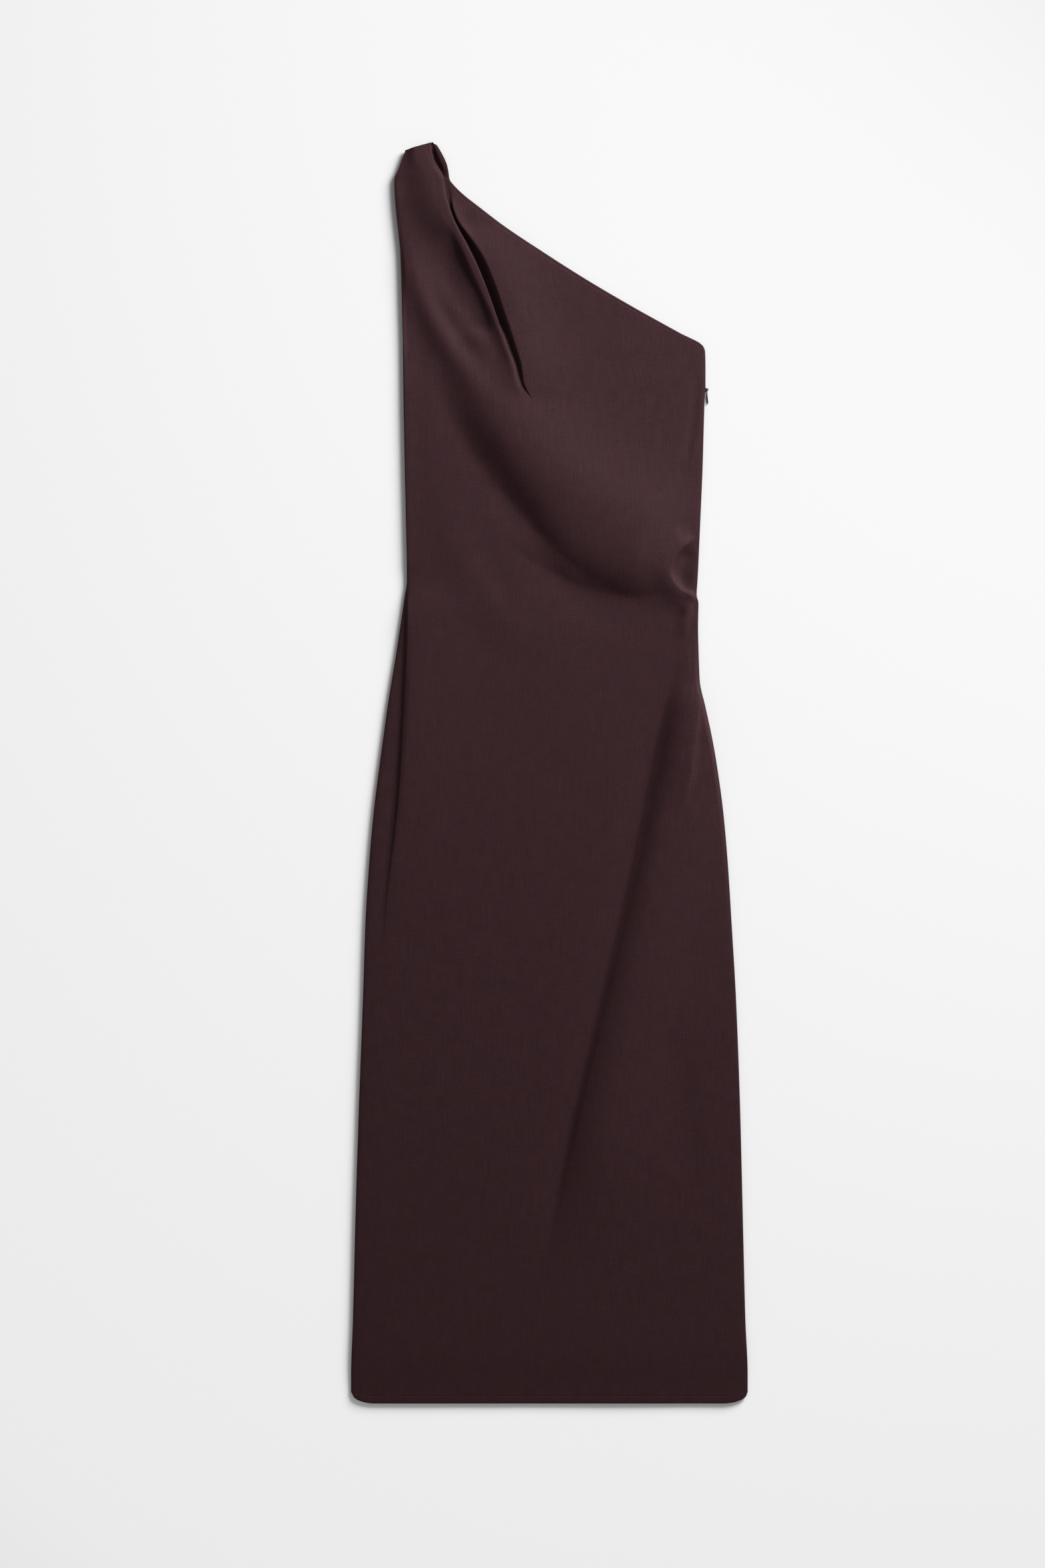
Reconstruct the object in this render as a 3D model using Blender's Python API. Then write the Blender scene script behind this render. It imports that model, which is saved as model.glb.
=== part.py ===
"""A one-shoulder midi dress in plain woven cloth, laid flat on its back.

The shoulder points along +Y, the front faces +Z, and the side with the zip is at +X.
The dress lies on z = 0, with the origin under the middle of its length and width.
Tables and sizes are in millimetres, and the meshes are made in metres.
"""

import math
from typing import NamedTuple

import bmesh
import bpy
import numpy as np

MM = 0.001

# Cloth walls and how they are stacked
WALL = 1.3
SEAM_GAP = 0.3
LAYER_GAP = 0.5
LAYER_STEP = WALL + LAYER_GAP
BACK_MID = WALL / 2
FRONT_MID = WALL + SEAM_GAP + WALL / 2

# The dress from hem to shoulder
HEM_Y = -661.1
SHOULDER_Y = 653.0
SHOULDER_SLANT = 0.2875
SLANT_FADES_BELOW = 52.0
HEM_CORNER_WIDTH = 24.0
HEM_CORNER_RISE = 11.0
HEM_CORNER_FADES_ABOVE = 34.0

# Columns of points across the front: how near they stand to creases, and how they share the rest
CREASE_REACH = 2.6
CREASE_SHARE = 0.3
TUCK_REACH = 17.0
TUCK_REACH_SHARE = 0.55
TUCK_REACH_GROWS = 1.6
TUCK_REACH_FROM_Y = 380.0
TUCK_REACH_BLEND = 300.0
STRAP_SHARES = (0.25, 0.5, 0.75, 1.0)
TUCK_SHARES = (0.42, 0.75, 1.0)
WAIST_FADES_Y = 250.0
WAIST_FADES_BLEND = 170.0
CHEST_SKIRT_SHARE = 0.5
CHEST_SIDE_SHARE = 0.86
GROOVE_LEAST = 1.5
GROOVE_LEAST_SHARE = 0.06
GROOVE_MOST_SHARE = 0.14
SKIRT_REACH = 7.0
SKIRT_REACH_SHARE = 0.07
GROOVE_BRIM = 3.0
GROOVE_BRIM_SHARE = 0.03
CHEST_SHARES = (0.2, 0.4, 0.6, 0.8, 1.0)
SIDE_SHARES = (0.55, 1.0)
RIM_LINES = ((5.0, 0.42), (1.8, 0.2))

# How the front lifts off the back inside its seams
EDGE_LIFT = 2.2
EDGE_ROLL = 2.4
EDGE_BLEND = 5.0
EDGE_SHARE = 0.2
LIFT_SOFTNESS = 0.5
CREASE_SOFTNESS = 0.01
HEM_SETTLES = 0.8
HEM_FADES = 60.0

# The tuck that is caught in the shoulder seam
TUCK_RISE = 2 * LAYER_STEP
TUCK_TURN = 0.9
LIP_SHARE = 0.3
INNER_START = 0.5
INNER_END = 0.8
RAMP_CLEARANCE = 2.4
LEAVE_REACH = 0.5
LEAVE_SHARE = 0.45
GROOVE_FLOOR = 0.3
GROOVE_EDGE = 3.0
GROOVE_ENDS_Y = 392.0
GROOVE_BLEND = 20.0
GUARD_STARTS_Y = 585.0
GUARD_BLEND = 25.0
BANK_REACH = 42.0
NECK_SETTLES = 0.75
NECK_SETTLES_Y = 586.0
NECK_BLEND = 20.0

# The shoulder seam, where the back strap curls up behind the front strap
CURL_RADIUS = 1.2
CURL_TOP = FRONT_MID + TUCK_RISE
BACK_INSET = 1.6
LOOP_CURL = 3.4
LOOP_STARTS_Y = 612.0
BRIM_STARTS_Y = 604.0
BRIM_BLEND = 10.0
BRIM_SHARE = 0.08
BRIM_CLEARANCE = 1.4
LOOP_CURL_STARTS_Y = 620.0
LOOP_CURL_BLEND = 9.0
BACK_SHARES = (0.0, 0.08, 0.35, 0.7, 1.0)

# The side zip
TAPE_TOP = 414.0
TAPE_BOTTOM = 112.0
TAPE_WIDTH = 5.6
TAPE_TOP_X = 160.0
TAPE_BOTTOM_X = 150.6
TAPE_END_GAP = 0.4
TAPE_END_STEP = 1.2
SLIDER_Y = 402.0
SLIDER_X = 165.3
SLIDER_BALL = 1.26
SLIDER_BALL_Z = 1.5
SLIDER_LENGTH = 8.0
SLIDER_THICKNESS = 1.0
SLIDER_LOW = 0.2
SLIDER_INSET = 0.2
SLIDER_NOSE = 0.55
PULL_THICKNESS = 0.9
PULL_MID_Z = 1.0
PULL_LEAN = math.radians(3.6)


class Section(NamedTuple):
    """The dress's outline at one height: its left and right edges."""

    y: float
    left: float
    right: float


class Line(NamedTuple):
    """One point of a line that runs down the dress."""

    y: float
    x: float


class Tuck(NamedTuple):
    """The shoulder tuck at one height."""

    y: float
    hidden: float      # depth of the cloth that is folded away under the lip
    run: float         # width over which the cloth climbs onto it
    rise: float        # share of the tuck's full height
    groove: float      # width of the open hollow beside the lip
    bank: float        # height of the cloth on the hollow's far side
    pressed: float     # 1 where the layers lie on each other, 0 where they have let go
    spread: float      # width that the tuck's cloth takes once it has let go


class Fold(NamedTuple):
    """A soft ridge, or with a negative rise a trough, along a route from its head to its tail."""

    name: str
    rise: float
    lower: float       # half width on its -X or lower side
    upper: float       # half width on its +X or upper side
    head: float        # share of its length over which it grows
    tail: float        # share of its length over which it fades
    route: tuple
    sharp: bool = False    # whether it meets the cloth below it in a crease
    grow: float = 1.0      # how many times as wide its lower side is at the tail


class Station(NamedTuple):
    """The pull's half width at one distance from the middle of the bail."""

    along: float
    half: float


class Band(NamedTuple):
    """A stretch of the dress whose rows are about one step apart."""

    top: float
    bottom: float
    step: float


OUTLINE = (
    Section(662.0, -148.0, -134.0),
    Section(653.5, -150.2, -131.0),
    Section(642.0, -154.4, -126.5),
    Section(634.0, -157.2, -122.5),
    Section(622.0, -162.0, -113.2),
    Section(617.5, -162.1, -105.5),
    Section(613.0, -162.0, -100.3),
    Section(601.0, -161.4, -84.4),
    Section(573.0, -158.6, -48.0),
    Section(545.0, -155.8, -6.0),
    Section(517.0, -154.8, 38.2),
    Section(489.0, -154.1, 85.8),
    Section(461.0, -153.3, 136.1),
    Section(447.5, -153.0, 160.4),
    Section(442.0, -153.0, 162.5),
    Section(433.0, -152.8, 162.8),
    Section(404.0, -152.5, 163.0),
    Section(388.0, -152.3, 162.0),
    Section(321.0, -151.0, 160.0),
    Section(265.0, -149.8, 157.6),
    Section(212.0, -148.8, 155.2),
    Section(201.0, -148.8, 154.6),
    Section(186.0, -150.9, 153.7),
    Section(178.0, -152.1, 155.6),
    Section(153.0, -155.8, 155.2),
    Section(125.0, -160.0, 155.8),
    Section(97.0, -164.6, 156.8),
    Section(69.0, -169.1, 162.8),
    Section(41.0, -173.0, 168.9),
    Section(13.0, -176.8, 174.0),
    Section(-43.0, -183.8, 181.7),
    Section(-99.0, -188.7, 186.6),
    Section(-155.0, -192.2, 190.1),
    Section(-239.0, -195.0, 195.0),
    Section(-351.0, -199.2, 199.2),
    Section(-463.0, -202.7, 202.0),
    Section(-575.0, -205.5, 204.8),
    Section(-632.0, -207.4, 207.2),
    Section(-662.0, -207.4, 207.2),
)

# The back strap's right edge, which bows out beside the front strap
LOOP = (
    Line(662.0, -122.4),
    Line(653.0, -122.2),
    Line(649.5, -118.6),
    Line(642.0, -114.5),
    Line(636.0, -111.0),
    Line(630.0, -107.8),
    Line(624.0, -106.0),
    Line(618.0, -104.9),
    Line(612.0, -100.5),
)

# The crease that runs down inside the left edge and becomes the overlap of the skirt
LEFT_FOLD = (
    Line(662.0, -143.5),
    Line(628.0, -154.5),
    Line(601.0, -155.5),
    Line(503.0, -149.0),
    Line(293.0, -145.0),
    Line(205.0, -146.6),
    Line(124.0, -149.0),
    Line(76.0, -152.0),
    Line(-23.0, -157.0),
    Line(-129.0, -169.0),
    Line(-209.0, -175.0),
    Line(-400.0, -183.0),
    Line(-662.0, -186.0),
)

# The lip of the shoulder tuck, and the line in which its cloth runs on down the dress
LIP = (
    Line(662.0, -124.6),
    Line(650.0, -124.4),
    Line(636.0, -122.0),
    Line(621.0, -112.4),
    Line(602.0, -107.8),
    Line(580.0, -100.5),
    Line(566.0, -93.5),
    Line(552.0, -85.8),
    Line(535.0, -77.4),
    Line(510.0, -66.9),
    Line(475.0, -54.3),
    Line(444.0, -42.4),
    Line(427.0, -34.7),
    Line(409.0, -29.8),
    Line(393.0, -23.5),
    Line(350.0, -15.0),
    Line(200.0, -16.0),
    Line(0.0, -32.0),
    Line(-250.0, -58.0),
    Line(-662.0, -92.0),
)

# The long slanting fold of the skirt
SKIRT_LINE = (
    Line(447.0, 88.0),
    Line(300.0, 98.0),
    Line(209.0, 110.0),
    Line(139.0, 121.0),
    Line(90.0, 128.0),
    Line(23.0, 115.0),
    Line(-105.0, 89.0),
    Line(-225.0, 59.0),
    Line(-332.0, 33.0),
    Line(-441.0, 9.0),
    Line(-528.0, -7.0),
    Line(-662.0, -26.0),
)

# The crease inside the right edge: the waist tuck, then the overlap of the skirt
SIDE_LINE = (
    Line(447.0, 150.0),
    Line(300.0, 149.0),
    Line(248.0, 147.0),
    Line(234.0, 138.0),
    Line(220.0, 128.5),
    Line(206.0, 127.0),
    Line(192.0, 137.0),
    Line(185.0, 145.5),
    Line(178.0, 146.5),
    Line(139.0, 148.0),
    Line(97.0, 152.0),
    Line(61.0, 154.0),
    Line(27.0, 151.0),
    Line(-17.0, 145.5),
    Line(-49.0, 144.0),
    Line(-105.0, 148.0),
    Line(-225.0, 156.0),
    Line(-662.0, 168.0),
)

TUCKS = (
    Tuck(662.0, 15.0, 32.0, 1.0, 0.0, 0.0, 1.0, 6.0),
    Tuck(640.0, 14.0, 32.0, 1.0, 0.0, 0.0, 1.0, 6.0),
    Tuck(600.0, 9.0, 34.0, 1.0, 1.0, 0.0, 1.0, 6.0),
    Tuck(578.0, 7.5, 34.0, 1.0, 2.0, 1.5, 1.0, 6.0),
    Tuck(562.0, 6.6, 34.0, 1.0, 6.0, 4.4, 1.0, 6.0),
    Tuck(535.0, 5.6, 34.0, 1.0, 8.5, 6.0, 1.0, 6.0),
    Tuck(505.0, 4.0, 25.0, 1.0, 8.0, 6.4, 1.0, 6.0),
    Tuck(488.0, 2.2, 20.0, 1.0, 7.5, 6.4, 1.0, 6.0),
    Tuck(452.0, 1.2, 17.0, 1.0, 6.5, 6.2, 0.0, 6.0),
    Tuck(425.0, 1.2, 20.0, 0.9, 5.0, 5.0, 0.0, 6.0),
    Tuck(408.0, 1.2, 26.0, 0.5, 4.0, 2.6, 0.0, 8.0),
    Tuck(388.0, 1.2, 30.0, 0.0, 3.0, 0.0, 0.0, 14.0),
    Tuck(340.0, 1.2, 30.0, 0.0, 3.0, 0.0, 0.0, 32.0),
    Tuck(200.0, 1.2, 30.0, 0.0, 3.0, 0.0, 0.0, 56.0),
    Tuck(-662.0, 1.2, 30.0, 0.0, 3.0, 0.0, 0.0, 60.0),
)

FOLDS = (
    Fold(
        "strap body", 3.6, 36.0, 10.0, 0.3, 0.4,
        ((-119, 642), (-112, 600), (-97, 565), (-80, 532), (-66, 500)),
    ),
    Fold("second tuck", -4.6, 26.0, 5.0, 0.4, 0.22, ((-108, 580), (-91, 531), (-73, 489), (-60, 460))),
    Fold(
        "first ridge", 3.3, 12.0, 13.0, 0.3, 0.4,
        ((-152, 578), (-144, 531), (-129, 489), (-106, 447), (-76, 405), (-44, 366)),
    ),
    Fold("strap valley", -1.8, 6.0, 6.0, 0.4, 0.5, ((-130, 520), (-116, 489), (-90, 447), (-66, 412))),
    Fold("strap ridge", 1.6, 7.0, 8.0, 0.4, 0.5, ((-114, 518), (-99, 489), (-69, 447), (-48, 418))),
    Fold(
        "big drape", -1.8, 24.0, 14.0, 0.12, 0.25,
        (
            (-151, 508), (-144, 489), (-132, 447), (-101, 391), (-58, 321),
            (-14, 250), (12, 202), (74, 170), (125, 186),
        ),
    ),
    Fold(
        "upper ridge", 10.5, 26.0, 56.0, 0.33, 0.2,
        ((-108, 447), (-68, 391), (-2, 318), (68, 266), (110, 250), (158, 238)), True, 3.1,
    ),
    Fold(
        "drape foot", 3.0, 26.0, 34.0, 0.35, 0.3,
        ((-40, 272), (2, 240), (48, 219), (92, 211), (140, 218)), True,
    ),
    Fold("lower ridge", 1.4, 22.0, 18.0, 0.4, 0.5, ((-122, 330), (-100, 250), (-62, 176), (20, 108))),
    Fold(
        "waist tuck", 4.4, 16.0, 2.0, 0.2, 0.06,
        ((154, 248), (138, 234), (128, 219), (127, 206), (137, 192), (151, 186), (155, 184)),
    ),
    Fold(
        "tuck pocket", -3.2, 5.0, 8.0, 0.3, 0.3,
        ((151, 236), (141, 224), (137, 212), (140, 201), (150, 194)),
    ),
    Fold("under tuck", 2.2, 8.0, 4.0, 0.2, 0.5, ((148, 180), (144, 160), (137, 135))),
    Fold(
        "skirt fold", -1.6, 16.0, 8.0, 0.25, 0.25,
        ((146, 130), (130, 90), (115, 23), (89, -105), (59, -225), (33, -332), (9, -441), (-7, -528)),
    ),
    Fold(
        "skirt ridge", 6.6, 28.0, 52.0, 0.2, 0.25,
        ((158, 90), (141, 23), (115, -105), (86, -225), (60, -332), (36, -441), (17, -540)), True, 0.85,
    ),
    Fold(
        "left overlap", 3.2, 2.4, 60.0, 0.1, 0.5,
        ((-148, 207), (-149, 124), (-157, -23), (-169, -129), (-175, -215)),
    ),
    Fold(
        "right overlap", 3.4, 26.0, 2.4, 0.2, 0.5,
        ((158, 100), (155, 61), (151, 27), (145, -17), (134, -55)),
    ),
    Fold("right skirt", -1.4, 16.0, 12.0, 0.4, 0.4, ((125, -229), (140, -365), (153, -489))),
)

PULL_STATIONS = (
    Station(1.58, 0.5),
    Station(3.0, 0.5),
    Station(4.6, 0.7),
    Station(7.0, 1.0),
    Station(9.5, 1.25),
    Station(12.0, 1.15),
    Station(14.0, 0.8),
    Station(15.2, 0.3),
)

ROWS = (
    Band(651.3, 625.0, 6.6),
    Band(625.0, 605.0, 5.0),
    Band(605.0, 500.0, 15.0),
    Band(500.0, 444.0, 8.0),
    Band(444.0, 385.0, 10.0),
    Band(385.0, 256.0, 12.0),
    Band(256.0, 172.0, 8.0),
    Band(172.0, 64.0, 14.0),
    Band(64.0, -256.0, 28.0),
    Band(-256.0, -636.0, 48.0),
    Band(-636.0, HEM_Y, 12.0),
)

TUCK_STEPS = (0.0, 0.07, 0.15, 0.23, 0.34, 0.5, 0.58, 0.66, 0.74, 0.86, 1.0)


def glide(keys, values, at):
    """Read a table along a smooth curve that never swings past its rows."""
    order = np.argsort(keys)
    keys = np.asarray(keys, float)[order]
    values = np.asarray(values, float)[order]
    steps = np.diff(keys)
    slopes = np.diff(values) / steps
    tangents = np.zeros(len(keys))
    tangents[0] = slopes[0]
    tangents[-1] = slopes[-1]
    product = slopes[:-1] * slopes[1:]
    together = product > 0
    tangents[1:-1][together] = 2 * product[together] / (slopes[:-1] + slopes[1:])[together]
    at = np.clip(at, keys[0], keys[-1])
    start = np.clip(np.searchsorted(keys, at, side="right") - 1, 0, len(steps) - 1)
    t = (at - keys[start]) / steps[start]
    rest = 1 - t
    blend = t * t * (3 - 2 * t)
    curve = values[start] * (1 - blend) + values[start + 1] * blend
    return curve + steps[start] * t * rest * (rest * tangents[start] - t * tangents[start + 1])


def column(table, field, y):
    """Read one named column of a table at heights y."""
    return glide([row.y for row in table], [getattr(row, field) for row in table], y)


def ease(t):
    """Rise smoothly from 0 to 1."""
    t = np.clip(t, 0, 1)
    return t * t * (3 - 2 * t)


def smooth_route(points, per_span=7):
    """Points along a smooth curve through the route's own points."""
    points = np.array(points, float)
    ends = np.vstack([2 * points[0] - points[1], points, 2 * points[-1] - points[-2]])
    t = (np.arange(per_span) / per_span)[:, None]
    spans = []
    for a, b, c, d in zip(ends, ends[1:], ends[2:], ends[3:]):
        squared = 2 * a - 5 * b + 4 * c - d
        cubed = 3 * b - a - 3 * c + d
        spans.append(0.5 * (2 * b + (c - a) * t + squared * t**2 + cubed * t**3))
    return np.vstack(spans + [points[-1:]])


def fold_height(fold, x, y):
    """Height that one fold adds at the points x, y."""
    route = smooth_route(fold.route)
    lengths = np.linalg.norm(np.diff(route, axis=0), axis=1)
    total = lengths.sum()
    travelled = 0.0
    best = np.full(x.shape, np.inf)
    side = np.zeros(x.shape)
    along = np.zeros(x.shape)
    for start, end, length in zip(route, route[1:], lengths):
        run = (end - start) / length
        t = np.clip((x - start[0]) * run[0] + (y - start[1]) * run[1], 0, length)
        dx = x - start[0] - run[0] * t
        dy = y - start[1] - run[1] * t
        distance = np.hypot(dx, dy)
        nearer = distance < best
        best = np.where(nearer, distance, best)
        side = np.where(nearer, run[0] * dy - run[1] * dx, side)
        along = np.where(nearer, (travelled + t) / total, along)
        travelled += length
    lower = fold.lower * (1 + (fold.grow - 1) * along)
    share = best / np.where(side > 0, fold.upper, lower)
    profile = np.exp(-(share**2))
    if fold.sharp:
        cap = 1 - share**2
        profile = np.where(side > 0, profile, (cap + np.sqrt(cap**2 + CREASE_SOFTNESS)) / 2)
    gain = ease(along / fold.head) * ease((1 - along) / fold.tail)
    return fold.rise * gain * profile


def left_edge(y):
    """X of the front's left edge."""
    return column(OUTLINE, "left", y)


def right_edge(y):
    """X of the front's right edge: the side seam, and above the underarm the neckline."""
    return column(OUTLINE, "right", y)


def cloth_lift(x, y):
    """Height of the front's middle surface over where it would lie flat on the back."""
    inside = np.clip(np.minimum(x - left_edge(y), right_edge(y) - x), 0, None)
    settled = 1 - HEM_SETTLES * ease((HEM_Y + HEM_FADES - y) / HEM_FADES)
    lift = EDGE_LIFT * (1 - np.exp(-inside / EDGE_ROLL)) * settled
    for fold in FOLDS:
        lift = lift + fold_height(fold, x, y) * ease(inside / EDGE_BLEND + EDGE_SHARE)
    return 0.5 * (lift + np.sqrt(lift**2 + LIFT_SOFTNESS**2)) - 0.5 * LIFT_SOFTNESS * np.exp(-inside)


def strap_lines(y, start):
    """Column lines from the left edge to the start of the tuck's cloth."""
    left = left_edge(y)
    gap = column(LEFT_FOLD, "x", y) - left
    fold = left + gap
    near = 1.0 + TUCK_REACH_GROWS * ease((TUCK_REACH_FROM_Y - y) / TUCK_REACH_BLEND)
    reach = np.minimum(TUCK_REACH * near, TUCK_REACH_SHARE * (start - fold))
    lines = [left, left + 0.4 * gap, fold - np.minimum(CREASE_REACH, CREASE_SHARE * gap), fold]
    lines += [fold + share * (start - reach - fold) for share in STRAP_SHARES]
    lines += [start - reach + share * reach for share in TUCK_SHARES]
    return lines


def body_lines(y, start):
    """Column lines from the end of the tuck's cloth to the right edge."""
    right = right_edge(y)
    room = right - start
    upper = ease((y - WAIST_FADES_Y) / WAIST_FADES_BLEND)
    skirt = (1 - upper) * column(SKIRT_LINE, "x", y) + upper * (start + CHEST_SKIRT_SHARE * room)
    side = (1 - upper) * column(SIDE_LINE, "x", y) + upper * (start + CHEST_SIDE_SHARE * room)
    least = np.minimum(GROOVE_LEAST, GROOVE_LEAST_SHARE * room)
    groove = np.clip(column(TUCKS, "groove", y), least, GROOVE_MOST_SHARE * room)
    near = np.minimum(SKIRT_REACH, SKIRT_REACH_SHARE * room)
    first = start + groove + np.minimum(GROOVE_BRIM, GROOVE_BRIM_SHARE * room)
    gap = right - side
    lines = [start, start + groove / 2, start + groove, first]
    lines += [first + share * (skirt - near - first) for share in CHEST_SHARES]
    lines += [skirt, skirt + near]
    lines += [skirt + near + share * (side - skirt - near) for share in SIDE_SHARES]
    lines += [side + np.minimum(CREASE_REACH, CREASE_SHARE * gap)]
    lines += [right - np.minimum(reach, share * gap) for reach, share in RIM_LINES]
    return lines + [right]


def tuck_points(y, steps):
    """The tuck's cloth: over the lip, back under it, round the inner turn and out again."""
    lip = column(LIP, "x", y)[:, None]
    hidden = column(TUCKS, "hidden", y)[:, None]
    pressed = column(TUCKS, "pressed", y)[:, None]
    spread = column(TUCKS, "spread", y)[:, None]
    rise = TUCK_RISE * column(TUCKS, "rise", y)[:, None]
    neck = right_edge(y)[:, None]
    inner = lip - hidden
    leave = np.minimum(lip + LEAVE_REACH, inner + LEAVE_SHARE * (neck - inner))
    rows = y[:, None] + 0 * steps[None, :]
    flat_x = lip + (steps - LIP_SHARE) * spread
    flat_z = FRONT_MID + cloth_lift(flat_x, rows) + rise * (1 - ease(steps))
    top = FRONT_MID + cloth_lift(lip - TUCK_TURN + 0 * steps, rows) + rise
    middle = FRONT_MID + LAYER_STEP
    lip_turn = np.pi * (0.5 - np.clip(steps / LIP_SHARE, 0, 1))
    back = np.clip((steps - LIP_SHARE) / (INNER_START - LIP_SHARE), 0, 1)
    inner_turn = np.pi * np.clip((steps - INNER_START) / (INNER_END - INNER_START), 0, 1)
    out = np.clip((steps - INNER_END) / (1 - INNER_END), 0, 1)
    fold_x = lip - TUCK_TURN + TUCK_TURN * np.cos(lip_turn)
    fold_z = (top + middle) / 2 + (top - middle) / 2 * np.sin(lip_turn)
    fold_x = fold_x + (inner - lip + TUCK_TURN) * back
    fold_x = fold_x - TUCK_TURN * np.sin(inner_turn) + (leave - inner) * out
    fold_z = fold_z - LAYER_STEP / 2 * (1 - np.cos(inner_turn))
    return flat_x + (fold_x - flat_x) * pressed, flat_z + (fold_z - flat_z) * pressed


def front_surface(rows, tuck_steps):
    """The middle surface of the front as a grid of points, one row for each height."""
    y = np.array(rows, float)
    steps = np.array(tuck_steps, float)
    tuck_x, tuck_z = tuck_points(y, steps)
    strap_x = np.stack(strap_lines(y, tuck_x[:, 0])[:-1], axis=1)
    body_x = np.stack(body_lines(y, tuck_x[:, -1])[1:], axis=1)
    strap_rows = y[:, None] + 0 * strap_x
    body_rows = y[:, None] + 0 * body_x
    lip = column(LIP, "x", y)[:, None]
    rise = TUCK_RISE * column(TUCKS, "rise", y)[:, None]
    ramp_end = lip - column(TUCKS, "hidden", y)[:, None] - RAMP_CLEARANCE
    run = np.minimum(column(TUCKS, "run", y)[:, None], ramp_end - left_edge(y)[:, None])
    ramp = np.clip((strap_x - ramp_end + run) / run, 0, 1) ** 2
    strap_z = FRONT_MID + cloth_lift(strap_x, strap_rows) + rise * ramp
    groove = column(TUCKS, "groove", y)[:, None] + GROOVE_EDGE
    bank = column(TUCKS, "bank", y)[:, None]
    under = ease((y[:, None] - GROOVE_ENDS_Y) / GROOVE_BLEND)
    guard = GROOVE_EDGE * ease((y[:, None] - GUARD_STARTS_Y) / GUARD_BLEND)
    risen = ((body_x - lip - guard) / groove - GROOVE_FLOOR) / (1 - GROOVE_FLOOR)
    clear = 1 - under * (1 - ease(risen))
    beyond = np.clip(body_x - lip - groove, 0, None)
    settled = 1 - NECK_SETTLES * ease((body_rows - NECK_SETTLES_Y) / NECK_BLEND)
    lift = cloth_lift(body_x, body_rows) * settled + bank * np.exp(-((beyond / BANK_REACH) ** 2))
    body_z = FRONT_MID + lift * clear
    x = np.hstack([strap_x, tuck_x, body_x])
    z = np.hstack([strap_z, tuck_z, body_z])
    return place_rows(x, y[:, None] + 0 * x, z)


def place_rows(x, y, z):
    """Slant the rows of the shoulder, and round the corners of the hem."""
    slant = SHOULDER_SLANT * ease((y - SHOULDER_Y + SLANT_FADES_BELOW) / SLANT_FADES_BELOW)
    shifted = y + slant * (x - left_edge(y))
    to_side = np.clip(np.minimum(x - left_edge(y), right_edge(y) - x), 0, HEM_CORNER_WIDTH)
    corner = 1 - np.sqrt(np.clip(1 - (1 - to_side / HEM_CORNER_WIDTH) ** 2, 0, 1))
    bow = HEM_CORNER_RISE * ease((HEM_Y + HEM_CORNER_FADES_ABOVE - y) / HEM_CORNER_FADES_ABOVE)
    return np.stack([x, shifted + bow * corner, z], axis=2)


def row_heights(bands):
    """Heights of the rows, from the top band to the last."""
    heights = [bands[0].top]
    for band in bands:
        count = max(1, round((band.top - band.bottom) / band.step))
        for index in range(1, count + 1):
            heights.append(band.top + (band.bottom - band.top) * index / count)
    return heights


def tape_edge(y):
    """X of the zip tape's outer edge, a straight line along the side seam."""
    return TAPE_BOTTOM_X + (TAPE_TOP_X - TAPE_BOTTOM_X) * (y - TAPE_BOTTOM) / (TAPE_TOP - TAPE_BOTTOM)


def back_rows():
    """Heights of the back's rows, with a pair of rows at each end of the zip tape."""
    steps = []
    for end, outward in ((TAPE_TOP, 1), (TAPE_BOTTOM, -1)):
        steps += [end + outward * TAPE_END_GAP, end + outward * (TAPE_END_GAP + TAPE_END_STEP)]
    kept = [y for y in row_heights(ROWS)[1:] if min(abs(y - step) for step in steps) > 2 * TAPE_END_STEP]
    return sorted(kept + steps, reverse=True)


def back_surface():
    """The middle surface of the back: flat, with the strap's right edge and top curled up."""
    turn = np.linspace(math.pi / 2, 0, 4)
    curl_start = SHOULDER_Y - WALL / 2 - CURL_RADIUS
    curled = [curl_start + CURL_RADIUS * math.sin(angle) for angle in turn]
    y = np.array(curled[:1] + curled + back_rows())
    raised = np.zeros(len(y))
    raised[0] = CURL_TOP - BACK_MID
    raised[1 : len(turn) + 1] = [CURL_RADIUS * (1 - math.cos(angle)) for angle in turn]
    left = left_edge(y) + BACK_INSET
    beside_tape = tape_edge(y) - TAPE_WIDTH - SEAM_GAP
    zip_reach = (TAPE_TOP - TAPE_BOTTOM + TAPE_END_STEP) / 2 + TAPE_END_GAP
    in_zip = np.abs(y - (TAPE_TOP + TAPE_BOTTOM) / 2) < zip_reach
    right = np.where(in_zip, beside_tape, right_edge(y) - BACK_INSET)
    right = np.where(y > LOOP_STARTS_Y, np.maximum(right, column(LOOP, "x", y)), right)
    in_loop = ease((y - BRIM_STARTS_Y) / BRIM_BLEND)
    brim = (1 - in_loop) * (right - BRIM_SHARE * (right - left))
    brim = brim + in_loop * (column(LIP, "x", y) + BRIM_CLEARANCE)
    lines = [left + share * (brim - left) for share in BACK_SHARES]
    x = np.stack(lines + [(brim + right) / 2, right], axis=1)
    edge_curl = LOOP_CURL * ease((y - LOOP_CURL_STARTS_Y) / LOOP_CURL_BLEND)
    edge_curl = edge_curl * ease((SHOULDER_Y - y) / BRIM_BLEND)
    curl = edge_curl[:, None] * ease((x - brim[:, None]) / (right - brim)[:, None])
    z = BACK_MID + raised[:, None] + curl
    return place_rows(x, y[:, None] + 0 * x, z)


def surface_normals(grid):
    """Unit normals of a grid of points, upward where the cloth lies face up."""
    across = np.gradient(grid, axis=1)
    down = np.gradient(grid, axis=0)
    normals = np.cross(down, across)
    return normals / np.linalg.norm(normals, axis=2, keepdims=True)


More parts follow.
